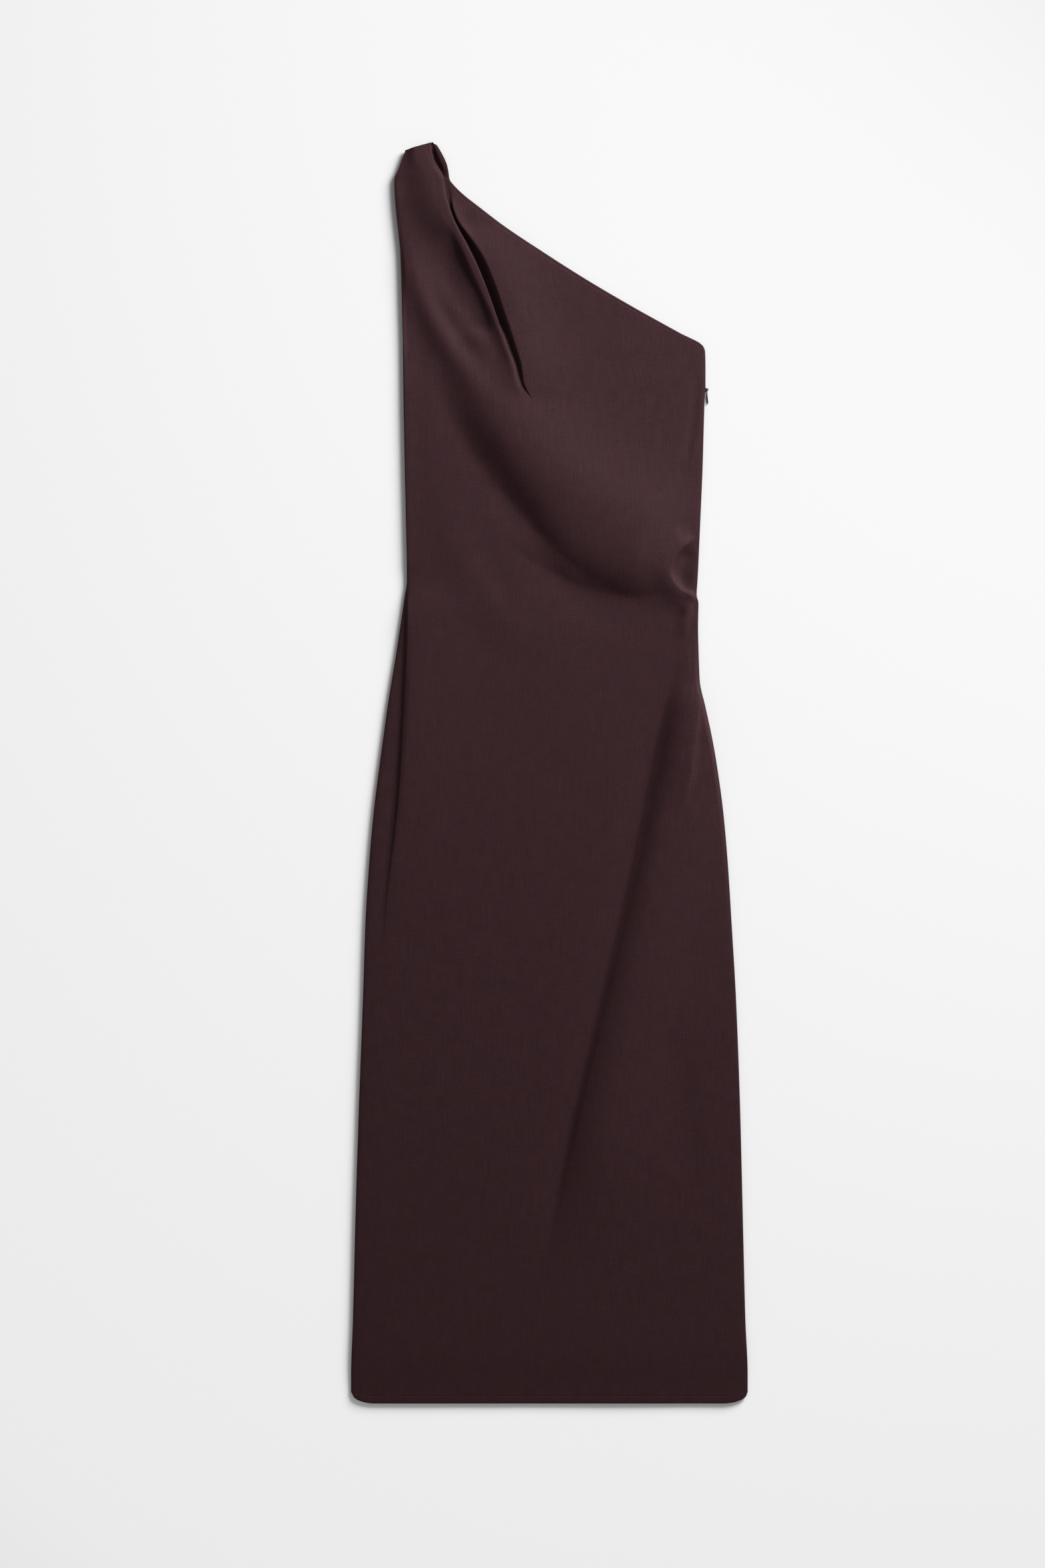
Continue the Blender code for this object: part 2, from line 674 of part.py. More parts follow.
def cloth_wall(name, grid, thickness, material):
    """A closed wall of even thickness on both sides of a grid of points."""
    normals = surface_normals(grid)
    outer = grid + normals * thickness / 2
    inner = grid - normals * thickness / 2
    rows, columns = grid.shape[:2]
    mesh = bmesh.new()
    tops = [mesh.verts.new(point * MM) for point in outer.reshape(-1, 3)]
    bottoms = [mesh.verts.new(point * MM) for point in inner.reshape(-1, 3)]
    for i in range(rows - 1):
        for j in range(columns - 1):
            a = i * columns + j
            b = a + columns
            mesh.faces.new((tops[a], tops[b], tops[b + 1], tops[a + 1]))
            mesh.faces.new((bottoms[a], bottoms[a + 1], bottoms[b + 1], bottoms[b]))
    rim = list(range(columns))
    rim += [i * columns + columns - 1 for i in range(1, rows)]
    rim += [(rows - 1) * columns + j for j in range(columns - 2, -1, -1)]
    rim += [i * columns for i in range(rows - 2, 0, -1)]
    for here, there in zip(rim, rim[1:] + rim[:1]):
        mesh.faces.new((tops[here], tops[there], bottoms[there], bottoms[here]))
    return finish_mesh(name, mesh, material)


def finish_mesh(name, mesh, material):
    """Turn a bmesh into a named object, with its faces pointing out and smooth shading."""
    bmesh.ops.recalc_face_normals(mesh, faces=mesh.faces)
    data = bpy.data.meshes.new(name)
    mesh.to_mesh(data)
    mesh.free()
    data.materials.append(material)
    data.shade_smooth()
    data.set_sharp_from_angle(angle=math.radians(40))
    piece = bpy.data.objects.new(name, data)
    bpy.context.scene.collection.objects.link(piece)
    return piece


def extrude_outline(mesh, points, low, high):
    """Add a flat plate with this outline to a bmesh."""
    bottom = [mesh.verts.new((x * MM, y * MM, low * MM)) for x, y in points]
    face = mesh.faces.new(bottom)
    made = bmesh.ops.extrude_face_region(mesh, geom=[face])
    top = [item for item in made["geom"] if isinstance(item, bmesh.types.BMVert)]
    bmesh.ops.translate(mesh, verts=top, vec=(0, 0, (high - low) * MM))


def zip_tape(material):
    """The zip's woven tape, a straight strip along the side seam under the front's edge."""
    points = (
        (TAPE_BOTTOM_X, TAPE_BOTTOM),
        (TAPE_TOP_X, TAPE_TOP),
        (TAPE_TOP_X - TAPE_WIDTH, TAPE_TOP),
        (TAPE_BOTTOM_X - TAPE_WIDTH, TAPE_BOTTOM),
    )
    mesh = bmesh.new()
    extrude_outline(mesh, points, 0.0, WALL)
    return finish_mesh("zip_tape", mesh, material)


def zip_slider(material):
    """The slider: its body beside the tape, and the round bail that shows past the seam."""
    edge = float(right_edge(np.array([SLIDER_Y]))[0])
    low_y = SLIDER_Y - SLIDER_LENGTH / 2
    high_y = SLIDER_Y + SLIDER_LENGTH / 2
    near = float(tape_edge(high_y)) + SEAM_GAP
    far = SLIDER_X - SLIDER_INSET
    nose = SLIDER_BALL * SLIDER_NOSE
    outline = (
        (near, low_y),
        (edge - SLIDER_INSET, low_y),
        (far, SLIDER_Y - nose),
        (far, SLIDER_Y + nose),
        (edge - SLIDER_INSET, high_y),
        (near, high_y),
    )
    body = bmesh.new()
    extrude_outline(body, outline, SLIDER_LOW, SLIDER_LOW + SLIDER_THICKNESS)
    slider = finish_mesh("zip_slider", body, material)
    bail = bmesh.new()
    bmesh.ops.create_uvsphere(bail, u_segments=16, v_segments=10, radius=SLIDER_BALL * MM)
    bmesh.ops.translate(bail, verts=bail.verts, vec=(SLIDER_X * MM, SLIDER_Y * MM, SLIDER_BALL_Z * MM))
    cutter = finish_mesh("bail_guide", bail, material)
    cutter.hide_render = True
    cutter.display_type = "WIRE"
    join = slider.modifiers.new("bail", "BOOLEAN")
    join.operation = "UNION"
    join.object = cutter
    return slider


def zip_pull(material):
    """The slim drop-shaped pull, with its origin on the bail's axis."""
    side = [(station.half, -station.along) for station in PULL_STATIONS]
    points = side + [(-half, along) for half, along in reversed(side)]
    cosine, sine = math.cos(PULL_LEAN), math.sin(PULL_LEAN)
    lean = np.array([[cosine, -sine], [sine, cosine]])
    turned = [tuple(lean @ np.array(point)) for point in points]
    mesh = bmesh.new()
    extrude_outline(mesh, turned, PULL_MID_Z - PULL_THICKNESS / 2, PULL_MID_Z + PULL_THICKNESS / 2)
    pull = finish_mesh("zip_pull", mesh, material)
    pull.location = (SLIDER_X * MM, SLIDER_Y * MM, 0)
    return pull


def finish_material(name, color, roughness, metallic=0.0):
    """A plain material in one colour."""
    material = bpy.data.materials.new(name)
    material.use_nodes = True
    shader = material.node_tree.nodes["Principled BSDF"]
    shader.inputs["Base Color"].default_value = (*color, 1)
    shader.inputs["Roughness"].default_value = roughness
    shader.inputs["Metallic"].default_value = metallic
    return material


def main():
    """Clear the scene and build the dress."""
    for leftover in list(bpy.data.objects):
        bpy.data.objects.remove(leftover, do_unlink=True)
    front_cloth = finish_material("front_cloth", (0.048, 0.022, 0.026), 0.7)
    back_cloth = finish_material("back_cloth", (0.042, 0.019, 0.023), 0.75)
    tape = finish_material("zip_tape", (0.03, 0.014, 0.017), 0.85)
    metal = finish_material("zip_metal", (0.03, 0.02, 0.022), 0.35, 0.8)
    cloth_wall("back_panel", back_surface(), WALL, back_cloth)
    cloth_wall("front_panel", front_surface(row_heights(ROWS), TUCK_STEPS), WALL, front_cloth)
    zip_tape(tape)
    zip_slider(metal)
    zip_pull(metal)


main()
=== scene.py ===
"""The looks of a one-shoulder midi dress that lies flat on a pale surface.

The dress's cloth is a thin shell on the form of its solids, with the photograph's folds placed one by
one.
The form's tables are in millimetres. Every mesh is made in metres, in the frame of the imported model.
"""

import logging
import math
from dataclasses import dataclass
from enum import Enum
from typing import NamedTuple, Sequence

import bmesh
import bpy
import numpy as np
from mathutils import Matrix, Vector

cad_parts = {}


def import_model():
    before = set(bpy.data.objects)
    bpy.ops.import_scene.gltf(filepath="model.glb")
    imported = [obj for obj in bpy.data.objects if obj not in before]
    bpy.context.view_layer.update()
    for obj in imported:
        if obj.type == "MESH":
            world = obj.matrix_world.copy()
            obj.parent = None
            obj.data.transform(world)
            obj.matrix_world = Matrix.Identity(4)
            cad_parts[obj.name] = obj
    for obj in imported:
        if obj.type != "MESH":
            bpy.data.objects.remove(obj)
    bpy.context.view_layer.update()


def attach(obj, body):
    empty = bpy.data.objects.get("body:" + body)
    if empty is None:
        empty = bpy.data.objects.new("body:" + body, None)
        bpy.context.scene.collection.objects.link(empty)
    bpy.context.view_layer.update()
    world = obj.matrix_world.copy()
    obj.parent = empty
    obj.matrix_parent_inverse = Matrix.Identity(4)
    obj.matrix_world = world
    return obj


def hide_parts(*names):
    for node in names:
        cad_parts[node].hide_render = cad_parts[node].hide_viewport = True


MM = 0.001
FAR = 1000.0
CREASE_SOFTNESS = 0.01
GRAIN = "cloth_grain"
EDGE_REACH = "edge_reach"
HEM_REACH = "hem_reach"

logging.basicConfig(level=logging.INFO, format="%(message)s")
log = logging.getLogger("dress")


class Body(Enum):
    """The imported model's bodies."""

    DRESS = "dress"
    PULL = "pull_tab"


class Slot(Enum):
    """Names of the material slots."""

    FRONT = "front_cloth"
    BACK = "back_cloth"
    TAPE = "zip_tape"
    METAL = "zip_metal"


class Section(NamedTuple):
    """The dress's outline at one height: its left and right edges."""

    y: float
    left: float
    right: float


class Line(NamedTuple):
    """One point of a line that runs down the dress."""

    y: float
    x: float


class Tuck(NamedTuple):
    """The shoulder tuck at one height.

    Hidden is the depth folded away under the lip, and run the width over which the cloth climbs onto it.
    Rise is the share of its full height, groove and bank are the open hollow beside the lip, pressed says
    whether its layers lie on each other, and spread is its width once it has let go.
    """

    y: float
    hidden: float
    run: float
    rise: float
    groove: float
    bank: float
    pressed: float
    spread: float


class Fold(NamedTuple):
    """A soft ridge, or with a negative rise a trough, along a route from its head to its tail.

    Lower and upper are its half widths, head and tail the shares of its length over which it grows and
    fades. A sharp fold meets the cloth below it in a crease, and its lower half width grows along it.
    """

    name: str
    rise: float
    lower: float
    upper: float
    head: float
    tail: float
    route: tuple
    sharp: bool = False
    grow: float = 1.0


class Band(NamedTuple):
    """A stretch of the dress whose rows are about one step apart."""

    top: float
    bottom: float
    step: float


class Reach(NamedTuple):
    """A distance that is a plain size where there is room for it, and else a share of the room."""

    size: float
    share: float

    def within(self, room: np.ndarray) -> np.ndarray:
        """The distance in each row's room."""
        return np.minimum(self.size, self.share * room)


class Span(NamedTuple):
    """A stretch of the tuck's cloth: where it starts and how long it is, as shares, and its columns."""

    start: float
    length: float
    columns: int

    def done(self, steps: np.ndarray) -> np.ndarray:
        """How much of the stretch lies behind each column, from 0 to 1."""
        return np.clip((steps - self.start) / self.length, 0, 1)


class Bend(NamedTuple):
    """One bend of the coil's tooth: how far it reaches, shifts and drops, and its size after it."""

    reach: float
    shift: float
    drop: float
    size: float


class NoseStep(NamedTuple):
    """One step of the slider's nose: how far it reaches, and the share of the width it keeps."""

    reach: float
    width_share: float


class Station(NamedTuple):
    """A station of the pull: its reach from the bail's middle, half width, and sideways bow."""

    reach: float
    half: float
    bow: float


OUTLINE = (
    Section(662.0, -148.0, -134.0),
    Section(653.5, -150.2, -131.0),
    Section(642.0, -154.4, -126.5),
    Section(634.0, -157.2, -122.5),
    Section(622.0, -162.0, -113.2),
    Section(617.5, -162.1, -105.5),
    Section(613.0, -162.0, -100.3),
    Section(601.0, -161.4, -84.4),
    Section(573.0, -158.6, -48.0),
    Section(545.0, -155.8, -6.0),
    Section(517.0, -154.8, 38.2),
    Section(489.0, -154.1, 85.8),
    Section(461.0, -153.3, 136.1),
    Section(447.5, -153.0, 160.4),
    Section(442.0, -153.0, 162.5),
    Section(433.0, -152.8, 162.8),
    Section(404.0, -152.5, 163.0),
    Section(388.0, -152.3, 162.0),
    Section(321.0, -151.0, 160.0),
    Section(265.0, -149.8, 157.6),
    Section(212.0, -148.8, 155.2),
    Section(201.0, -148.8, 154.6),
    Section(186.0, -150.9, 153.7),
    Section(178.0, -152.1, 155.6),
    Section(153.0, -155.8, 155.2),
    Section(125.0, -160.0, 155.8),
    Section(97.0, -164.6, 156.8),
    Section(69.0, -169.1, 162.8),
    Section(41.0, -173.0, 168.9),
    Section(13.0, -176.8, 174.0),
    Section(-43.0, -183.8, 181.7),
    Section(-99.0, -188.7, 186.6),
    Section(-155.0, -192.2, 190.1),
    Section(-239.0, -195.0, 195.0),
    Section(-351.0, -199.2, 199.2),
    Section(-463.0, -202.7, 202.0),
    Section(-575.0, -205.5, 204.8),
    Section(-632.0, -207.4, 207.2),
    Section(-662.0, -207.4, 207.2),
)

# The back strap's right edge, which bows out beside the front strap
LOOP = (
    Line(662.0, -122.4),
    Line(653.0, -122.2),
    Line(649.5, -118.6),
    Line(642.0, -114.5),
    Line(636.0, -111.0),
    Line(630.0, -107.8),
    Line(624.0, -106.0),
    Line(618.0, -104.9),
    Line(612.0, -100.5),
)

# The crease that runs down inside the left edge and becomes the overlap of the skirt
LEFT_FOLD = (
    Line(662.0, -143.5),
    Line(628.0, -154.5),
    Line(601.0, -155.5),
    Line(503.0, -149.0),
    Line(293.0, -145.0),
    Line(205.0, -146.6),
    Line(124.0, -149.0),
    Line(76.0, -152.0),
    Line(-23.0, -157.0),
    Line(-129.0, -169.0),
    Line(-209.0, -175.0),
    Line(-400.0, -183.0),
    Line(-662.0, -186.0),
)

# The lip of the shoulder tuck, and the line in which its cloth runs on down the dress
LIP = (
    Line(662.0, -124.6),
    Line(650.0, -124.4),
    Line(636.0, -122.0),
    Line(621.0, -112.4),
    Line(602.0, -107.8),
    Line(580.0, -100.5),
    Line(566.0, -93.5),
    Line(552.0, -85.8),
    Line(535.0, -77.4),
    Line(510.0, -66.9),
    Line(475.0, -54.3),
    Line(444.0, -43.4),
    Line(427.0, -37.4),
    Line(409.0, -33.8),
    Line(393.0, -28.5),
    Line(350.0, -19.0),
    Line(200.0, -16.0),
    Line(0.0, -32.0),
    Line(-250.0, -58.0),
    Line(-662.0, -92.0),
)

# The long slanting fold of the skirt
SKIRT_LINE = (
    Line(447.0, 88.0),
    Line(300.0, 98.0),
    Line(209.0, 110.0),
    Line(139.0, 121.0),
    Line(90.0, 128.0),
    Line(23.0, 115.0),
    Line(-105.0, 89.0),
    Line(-225.0, 59.0),
    Line(-332.0, 33.0),
    Line(-441.0, 9.0),
    Line(-528.0, -7.0),
    Line(-662.0, -26.0),
)

# The crease inside the right edge: the waist tuck, then the overlap of the skirt
SIDE_LINE = (
    Line(447.0, 150.0),
    Line(300.0, 149.0),
    Line(248.0, 147.0),
    Line(234.0, 138.0),
    Line(220.0, 128.5),
    Line(206.0, 127.0),
    Line(192.0, 137.0),
    Line(185.0, 145.5),
    Line(178.0, 146.5),
    Line(139.0, 148.0),
    Line(97.0, 152.0),
    Line(61.0, 154.0),
    Line(27.0, 151.0),
    Line(-17.0, 145.5),
    Line(-49.0, 144.0),
    Line(-105.0, 148.0),
    Line(-225.0, 156.0),
    Line(-662.0, 168.0),
)

TUCKS = (
    Tuck(662.0, 15.0, 32.0, 1.0, 0.0, 0.0, 1.0, 6.0),
    Tuck(640.0, 14.0, 32.0, 1.0, 0.0, 0.0, 1.0, 6.0),
    Tuck(600.0, 9.0, 36.0, 1.0, 0.4, 0.0, 1.0, 6.0),
    Tuck(578.0, 7.5, 38.0, 1.0, 1.2, 0.6, 1.0, 6.0),
    Tuck(562.0, 6.6, 36.0, 1.0, 5.0, 3.6, 1.0, 6.0),
    Tuck(535.0, 5.6, 34.0, 1.0, 8.5, 6.0, 1.0, 6.0),
    Tuck(505.0, 4.0, 25.0, 1.0, 8.0, 6.4, 1.0, 6.0),
    Tuck(488.0, 2.2, 20.0, 1.0, 7.5, 6.4, 1.0, 6.0),
    Tuck(452.0, 1.2, 17.0, 1.0, 6.5, 6.2, 0.0, 6.0),
    Tuck(425.0, 1.2, 20.0, 0.9, 5.0, 5.0, 0.0, 6.0),
    Tuck(408.0, 1.2, 26.0, 0.5, 4.0, 2.6, 0.0, 8.0),
    Tuck(388.0, 1.2, 30.0, 0.0, 3.0, 0.0, 0.0, 14.0),
    Tuck(340.0, 1.2, 30.0, 0.0, 3.0, 0.0, 0.0, 32.0),
    Tuck(200.0, 1.2, 30.0, 0.0, 3.0, 0.0, 0.0, 56.0),
    Tuck(-662.0, 1.2, 30.0, 0.0, 3.0, 0.0, 0.0, 60.0),
)

FOLDS = (
    Fold(
        "strap body", 3.6, 36.0, 10.0, 0.3, 0.4,
        ((-119, 642), (-112, 600), (-97, 565), (-80, 532), (-66, 500)),
    ),
    Fold(
        "second tuck", -5.4, 25.0, 5.0, 0.4, 0.2,
        ((-110, 580), (-93, 531), (-75, 489), (-62, 456)),
    ),
    Fold(
        "first ridge", 3.3, 12.0, 13.0, 0.3, 0.4,
        ((-152, 578), (-144, 531), (-129, 489), (-106, 447), (-76, 405), (-44, 366)),
    ),
    Fold(
        "strap valley", -1.8, 6.0, 6.0, 0.4, 0.5,
        ((-130, 520), (-116, 489), (-90, 447), (-66, 412)),
    ),
    Fold("strap ridge", 1.6, 7.0, 8.0, 0.4, 0.5, ((-114, 518), (-99, 489), (-69, 447), (-48, 418))),
    Fold(
        "big drape", -1.8, 24.0, 14.0, 0.12, 0.25,
        (
            (-151, 508), (-144, 489), (-132, 447), (-101, 391), (-58, 321),
            (-14, 250), (12, 202), (74, 170), (125, 186),
        ),
    ),
    Fold(
        "upper ridge", 10.5, 26.0, 56.0, 0.33, 0.2,
        ((-108, 447), (-68, 391), (-2, 318), (68, 266), (110, 250), (158, 238)), True, 3.1,
    ),
    Fold(
        "drape foot", 3.0, 26.0, 34.0, 0.35, 0.3,
        ((-40, 272), (2, 240), (48, 219), (92, 211), (140, 218)), True,
    ),
    Fold(
        "lower ridge", 1.4, 22.0, 18.0, 0.4, 0.5,
        ((-122, 330), (-100, 250), (-62, 176), (20, 108)),
    ),
    Fold(
        "waist tuck", 4.4, 16.0, 2.0, 0.2, 0.06,
        ((154, 248), (138, 234), (128, 219), (127, 206), (137, 192), (151, 186), (155, 184)),
    ),
    Fold(
        "tuck pocket", -3.2, 5.0, 8.0, 0.3, 0.3,
        ((151, 236), (141, 224), (137, 212), (140, 201), (150, 194)),
    ),
    Fold("under tuck", 2.2, 8.0, 4.0, 0.2, 0.5, ((148, 180), (144, 160), (137, 135))),
    Fold(
        "skirt fold", -2.1, 18.0, 8.0, 0.2, 0.25,
        ((146, 130), (130, 90), (115, 23), (89, -105), (59, -225), (33, -332), (9, -441), (-7, -528)),
    ),
    Fold(
        "skirt ridge", 7.2, 29.0, 50.0, 0.16, 0.25,
        (
            (168, 150), (157, 90), (139, 23), (112, -105),
            (84, -225), (58, -332), (34, -441), (15, -540),
        ), True, 0.85,
    ),
    Fold(
        "left overlap", 3.2, 2.4, 60.0, 0.1, 0.5,
        ((-148, 207), (-149, 124), (-157, -23), (-169, -129), (-175, -215)),
    ),
    Fold(
        "right overlap", 3.4, 26.0, 2.4, 0.2, 0.5,
        ((158, 100), (155, 61), (151, 27), (145, -17), (134, -55)),
    ),
    Fold("right skirt", -1.4, 16.0, 12.0, 0.4, 0.4, ((125, -229), (140, -365), (153, -489))),
    Fold(
        "left press line", -0.7, 2.4, 2.0, 0.1, 0.2,
        ((-139, 470), (-137, 380), (-136, 290), (-135, 210)),
    ),
    Fold(
        "zip press line", -0.9, 5.0, 3.0, 0.3, 0.4,
        ((156, 430), (153, 381), (145, 330), (141, 294)),
    ),
)

# Soft creases in which the back lifts off the surface that it lies on
BACK_FOLDS = (
    Fold(
        "waist line", 1.3, 12.0, 9.0, 0.3, 0.5,
        ((146, 226), (90, 214), (20, 206), (-50, 214), (-118, 232)),
    ),
    Fold(
        "back drape", 1.5, 14.0, 10.0, 0.3, 0.4,
        ((-140, 500), (-96, 420), (-30, 338), (60, 280), (132, 262)),
    ),
    Fold("small drape", 0.9, 9.0, 7.0, 0.4, 0.4, ((-132, 420), (-92, 352), (-40, 292), (22, 250))),
    Fold("left dart", 1.0, 5.0, 5.0, 0.4, 0.4, ((-74, 300), (-78, 210), (-84, 110), (-88, 60))),
    Fold("right dart", 1.0, 5.0, 5.0, 0.4, 0.4, ((76, 300), (80, 210), (84, 110), (88, 60))),
    Fold(
        "skirt sweep", 1.6, 16.0, 11.0, 0.3, 0.4,
        ((140, 92), (104, -60), (58, -240), (12, -430), (-6, -540)),
    ),
    Fold(
        "left sweep", 1.2, 12.0, 14.0, 0.4, 0.4,
        ((-150, 60), (-140, -90), (-120, -260), (-108, -420)),
    ),
    Fold("hem wave", 1.1, 18.0, 15.0, 0.5, 0.3, ((60, -470), (72, -560), (78, -650))),
    Fold("hem ripple", 0.9, 14.0, 14.0, 0.5, 0.3, ((-90, -520), (-96, -590), (-98, -655))),
)

# Where the tuck's cloth goes: over the lip, back under it, round the inner turn and out again
OVER_LIP = Span(0.0, 0.3, 10)
UNDER_LIP = Span(0.3, 0.2, 5)
INNER_TURN = Span(0.5, 0.3, 8)
WAY_OUT = Span(0.8, 0.2, 5)

# How far the columns stand from the creases and edges beside them
CREASE_SIDE = Reach(2.6, 0.3)
TUCK_SIDE = Reach(17.0, 0.55)
SKIRT_SIDE = Reach(7.0, 0.07)
GROOVE_SIDE = Reach(3.0, 0.03)
GROOVE_LEAST = Reach(1.5, 0.06)
EDGE_SIDES = (Reach(5.0, 0.42), Reach(1.8, 0.2))

TOOTH_BENDS = (
    Bend(0.25, 0.1, 0.12, 0.8),
    Bend(0.1, 0.1, 0.3, 0.8),
)

SLIDER_NOSE = (
    NoseStep(0.5, 0.86),
    NoseStep(0.7, 0.55),
    NoseStep(0.6, 0.42),
)

PULL_STATIONS = (
    Station(3.2, 0.42, -0.06),
    Station(4.6, 0.55, -0.16),
    Station(6.4, 0.7, -0.16),
    Station(8.4, 0.82, -0.08),
    Station(10.4, 0.88, 0.02),
    Station(12.2, 0.84, 0.12),
    Station(13.6, 0.68, 0.16),
    Station(14.6, 0.5, 0.12),
    Station(15.1, 0.2, 0.06),
)

FRONT_ROWS = (
    Band(651.3, 600.0, 2.4),
    Band(600.0, 385.0, 3.0),
    Band(385.0, 256.0, 3.6),
    Band(256.0, 172.0, 2.4),
    Band(172.0, 64.0, 3.2),
    Band(64.0, -636.0, 5.6),
    Band(-636.0, -661.1, 2.5),
)


def glide(keys: Sequence[float], values: Sequence[float], at: np.ndarray) -> np.ndarray:
    """Read a table along a smooth curve that never swings past its rows.

    Args:
        keys: Where the table's rows stand.
        values: What the rows say.
        at: Where the table is read.

    Returns:
        The curve's value at each place.
    """
    order = np.argsort(keys)
    keys = np.asarray(keys, float)[order]
    values = np.asarray(values, float)[order]
    steps = np.diff(keys)
    slopes = np.diff(values) / steps
    tangents = np.zeros(len(keys))
    tangents[0] = slopes[0]
    tangents[-1] = slopes[-1]
    product = slopes[:-1] * slopes[1:]
    together = product > 0
    tangents[1:-1][together] = 2 * product[together] / (slopes[:-1] + slopes[1:])[together]
    at = np.clip(at, keys[0], keys[-1])
    start = np.clip(np.searchsorted(keys, at, side="right") - 1, 0, len(steps) - 1)
    t = (at - keys[start]) / steps[start]
    rest = 1 - t
    blend = t * t * (3 - 2 * t)
    curve = values[start] * (1 - blend) + values[start + 1] * blend
    return curve + steps[start] * t * rest * (rest * tangents[start] - t * tangents[start + 1])


def column(table: Sequence[NamedTuple], name: str, y: np.ndarray) -> np.ndarray:
    """Read one named column of a table at heights y.

    Args:
        table: Rows that have a y.
        name: The column's name.
        y: The heights.

    Returns:
        The column's value at each height.
    """
    return glide([row.y for row in table], [getattr(row, name) for row in table], y)


def ease(t: np.ndarray) -> np.ndarray:
    """Rise smoothly from 0 to 1 as t does."""
    t = np.clip(t, 0, 1)
    return t * t * (3 - 2 * t)


def smooth_route(points: Sequence[Sequence[float]], per_span: int = 9) -> np.ndarray:
    """Points along a smooth curve through a route's own points.

    Args:
        points: The route's points.
        per_span: How many points are made for each stretch.

    Returns:
        An array with a row for each point.
    """
    points = np.array(points, float)
    ends = np.vstack([2 * points[0] - points[1], points, 2 * points[-1] - points[-2]])
    t = (np.arange(per_span) / per_span)[:, None]
    spans = []
    for a, b, c, d in zip(ends, ends[1:], ends[2:], ends[3:]):
        curve = 2 * b + (c - a) * t + (2 * a - 5 * b + 4 * c - d) * t**2
        spans.append((curve + (3 * b - a - 3 * c + d) * t**3) / 2)
    return np.vstack(spans + [points[-1:]])


def fold_height(fold: Fold, x: np.ndarray, y: np.ndarray) -> np.ndarray:
    """Height that one fold adds at the points x, y.

    Args:
        fold: The fold.
        x: The points' places across the dress.
        y: The points' heights along the dress.

    Returns:
        The height at each point.
    """
    route = smooth_route(fold.route)
    lengths = np.linalg.norm(np.diff(route, axis=0), axis=1)
    total = lengths.sum()
    travelled = 0.0
    best = np.full(x.shape, np.inf)
    side = np.zeros(x.shape)
    along = np.zeros(x.shape)
    for start, end, length in zip(route, route[1:], lengths):
        run = (end - start) / length
        t = np.clip((x - start[0]) * run[0] + (y - start[1]) * run[1], 0, length)
        dx = x - start[0] - run[0] * t
        dy = y - start[1] - run[1] * t
        distance = np.hypot(dx, dy)
        nearer = distance < best
        best = np.where(nearer, distance, best)
        side = np.where(nearer, run[0] * dy - run[1] * dx, side)
        along = np.where(nearer, (travelled + t) / total, along)
        travelled += length
    lower = fold.lower * (1 + (fold.grow - 1) * along)
    share = best / np.where(side > 0, fold.upper, lower)
    profile = np.exp(-(share**2))
    if fold.sharp:
        cap = 1 - share**2
        profile = np.where(side > 0, profile, (cap + np.sqrt(cap**2 + CREASE_SOFTNESS)) / 2)
    gain = ease(along / fold.head) * ease((1 - along) / fold.tail)
    return fold.rise * gain * profile


def row_heights(bands: Sequence[Band]) -> list[float]:
    """Heights of the rows, from the top band to the last."""
    heights = [bands[0].top]
    for band in bands:
        count = max(1, round((band.top - band.bottom) / band.step))
        for index in range(1, count + 1):
            heights.append(band.top + (band.bottom - band.top) * index / count)
    return heights


def split_between(lines: Sequence[np.ndarray], parts: int) -> np.ndarray:
    """Columns along each line, and evenly between neighbouring lines.

    Args:
        lines: The x of each line in every row.
        parts: How many strips lie between two lines.

    Returns:
        The x of each column in every row.
    """
    columns = [lines[0]]
    for here, there in zip(lines, lines[1:]):
        for part in range(1, parts + 1):
            columns.append(here + (there - here) * part / parts)
    return np.stack(columns, axis=1)


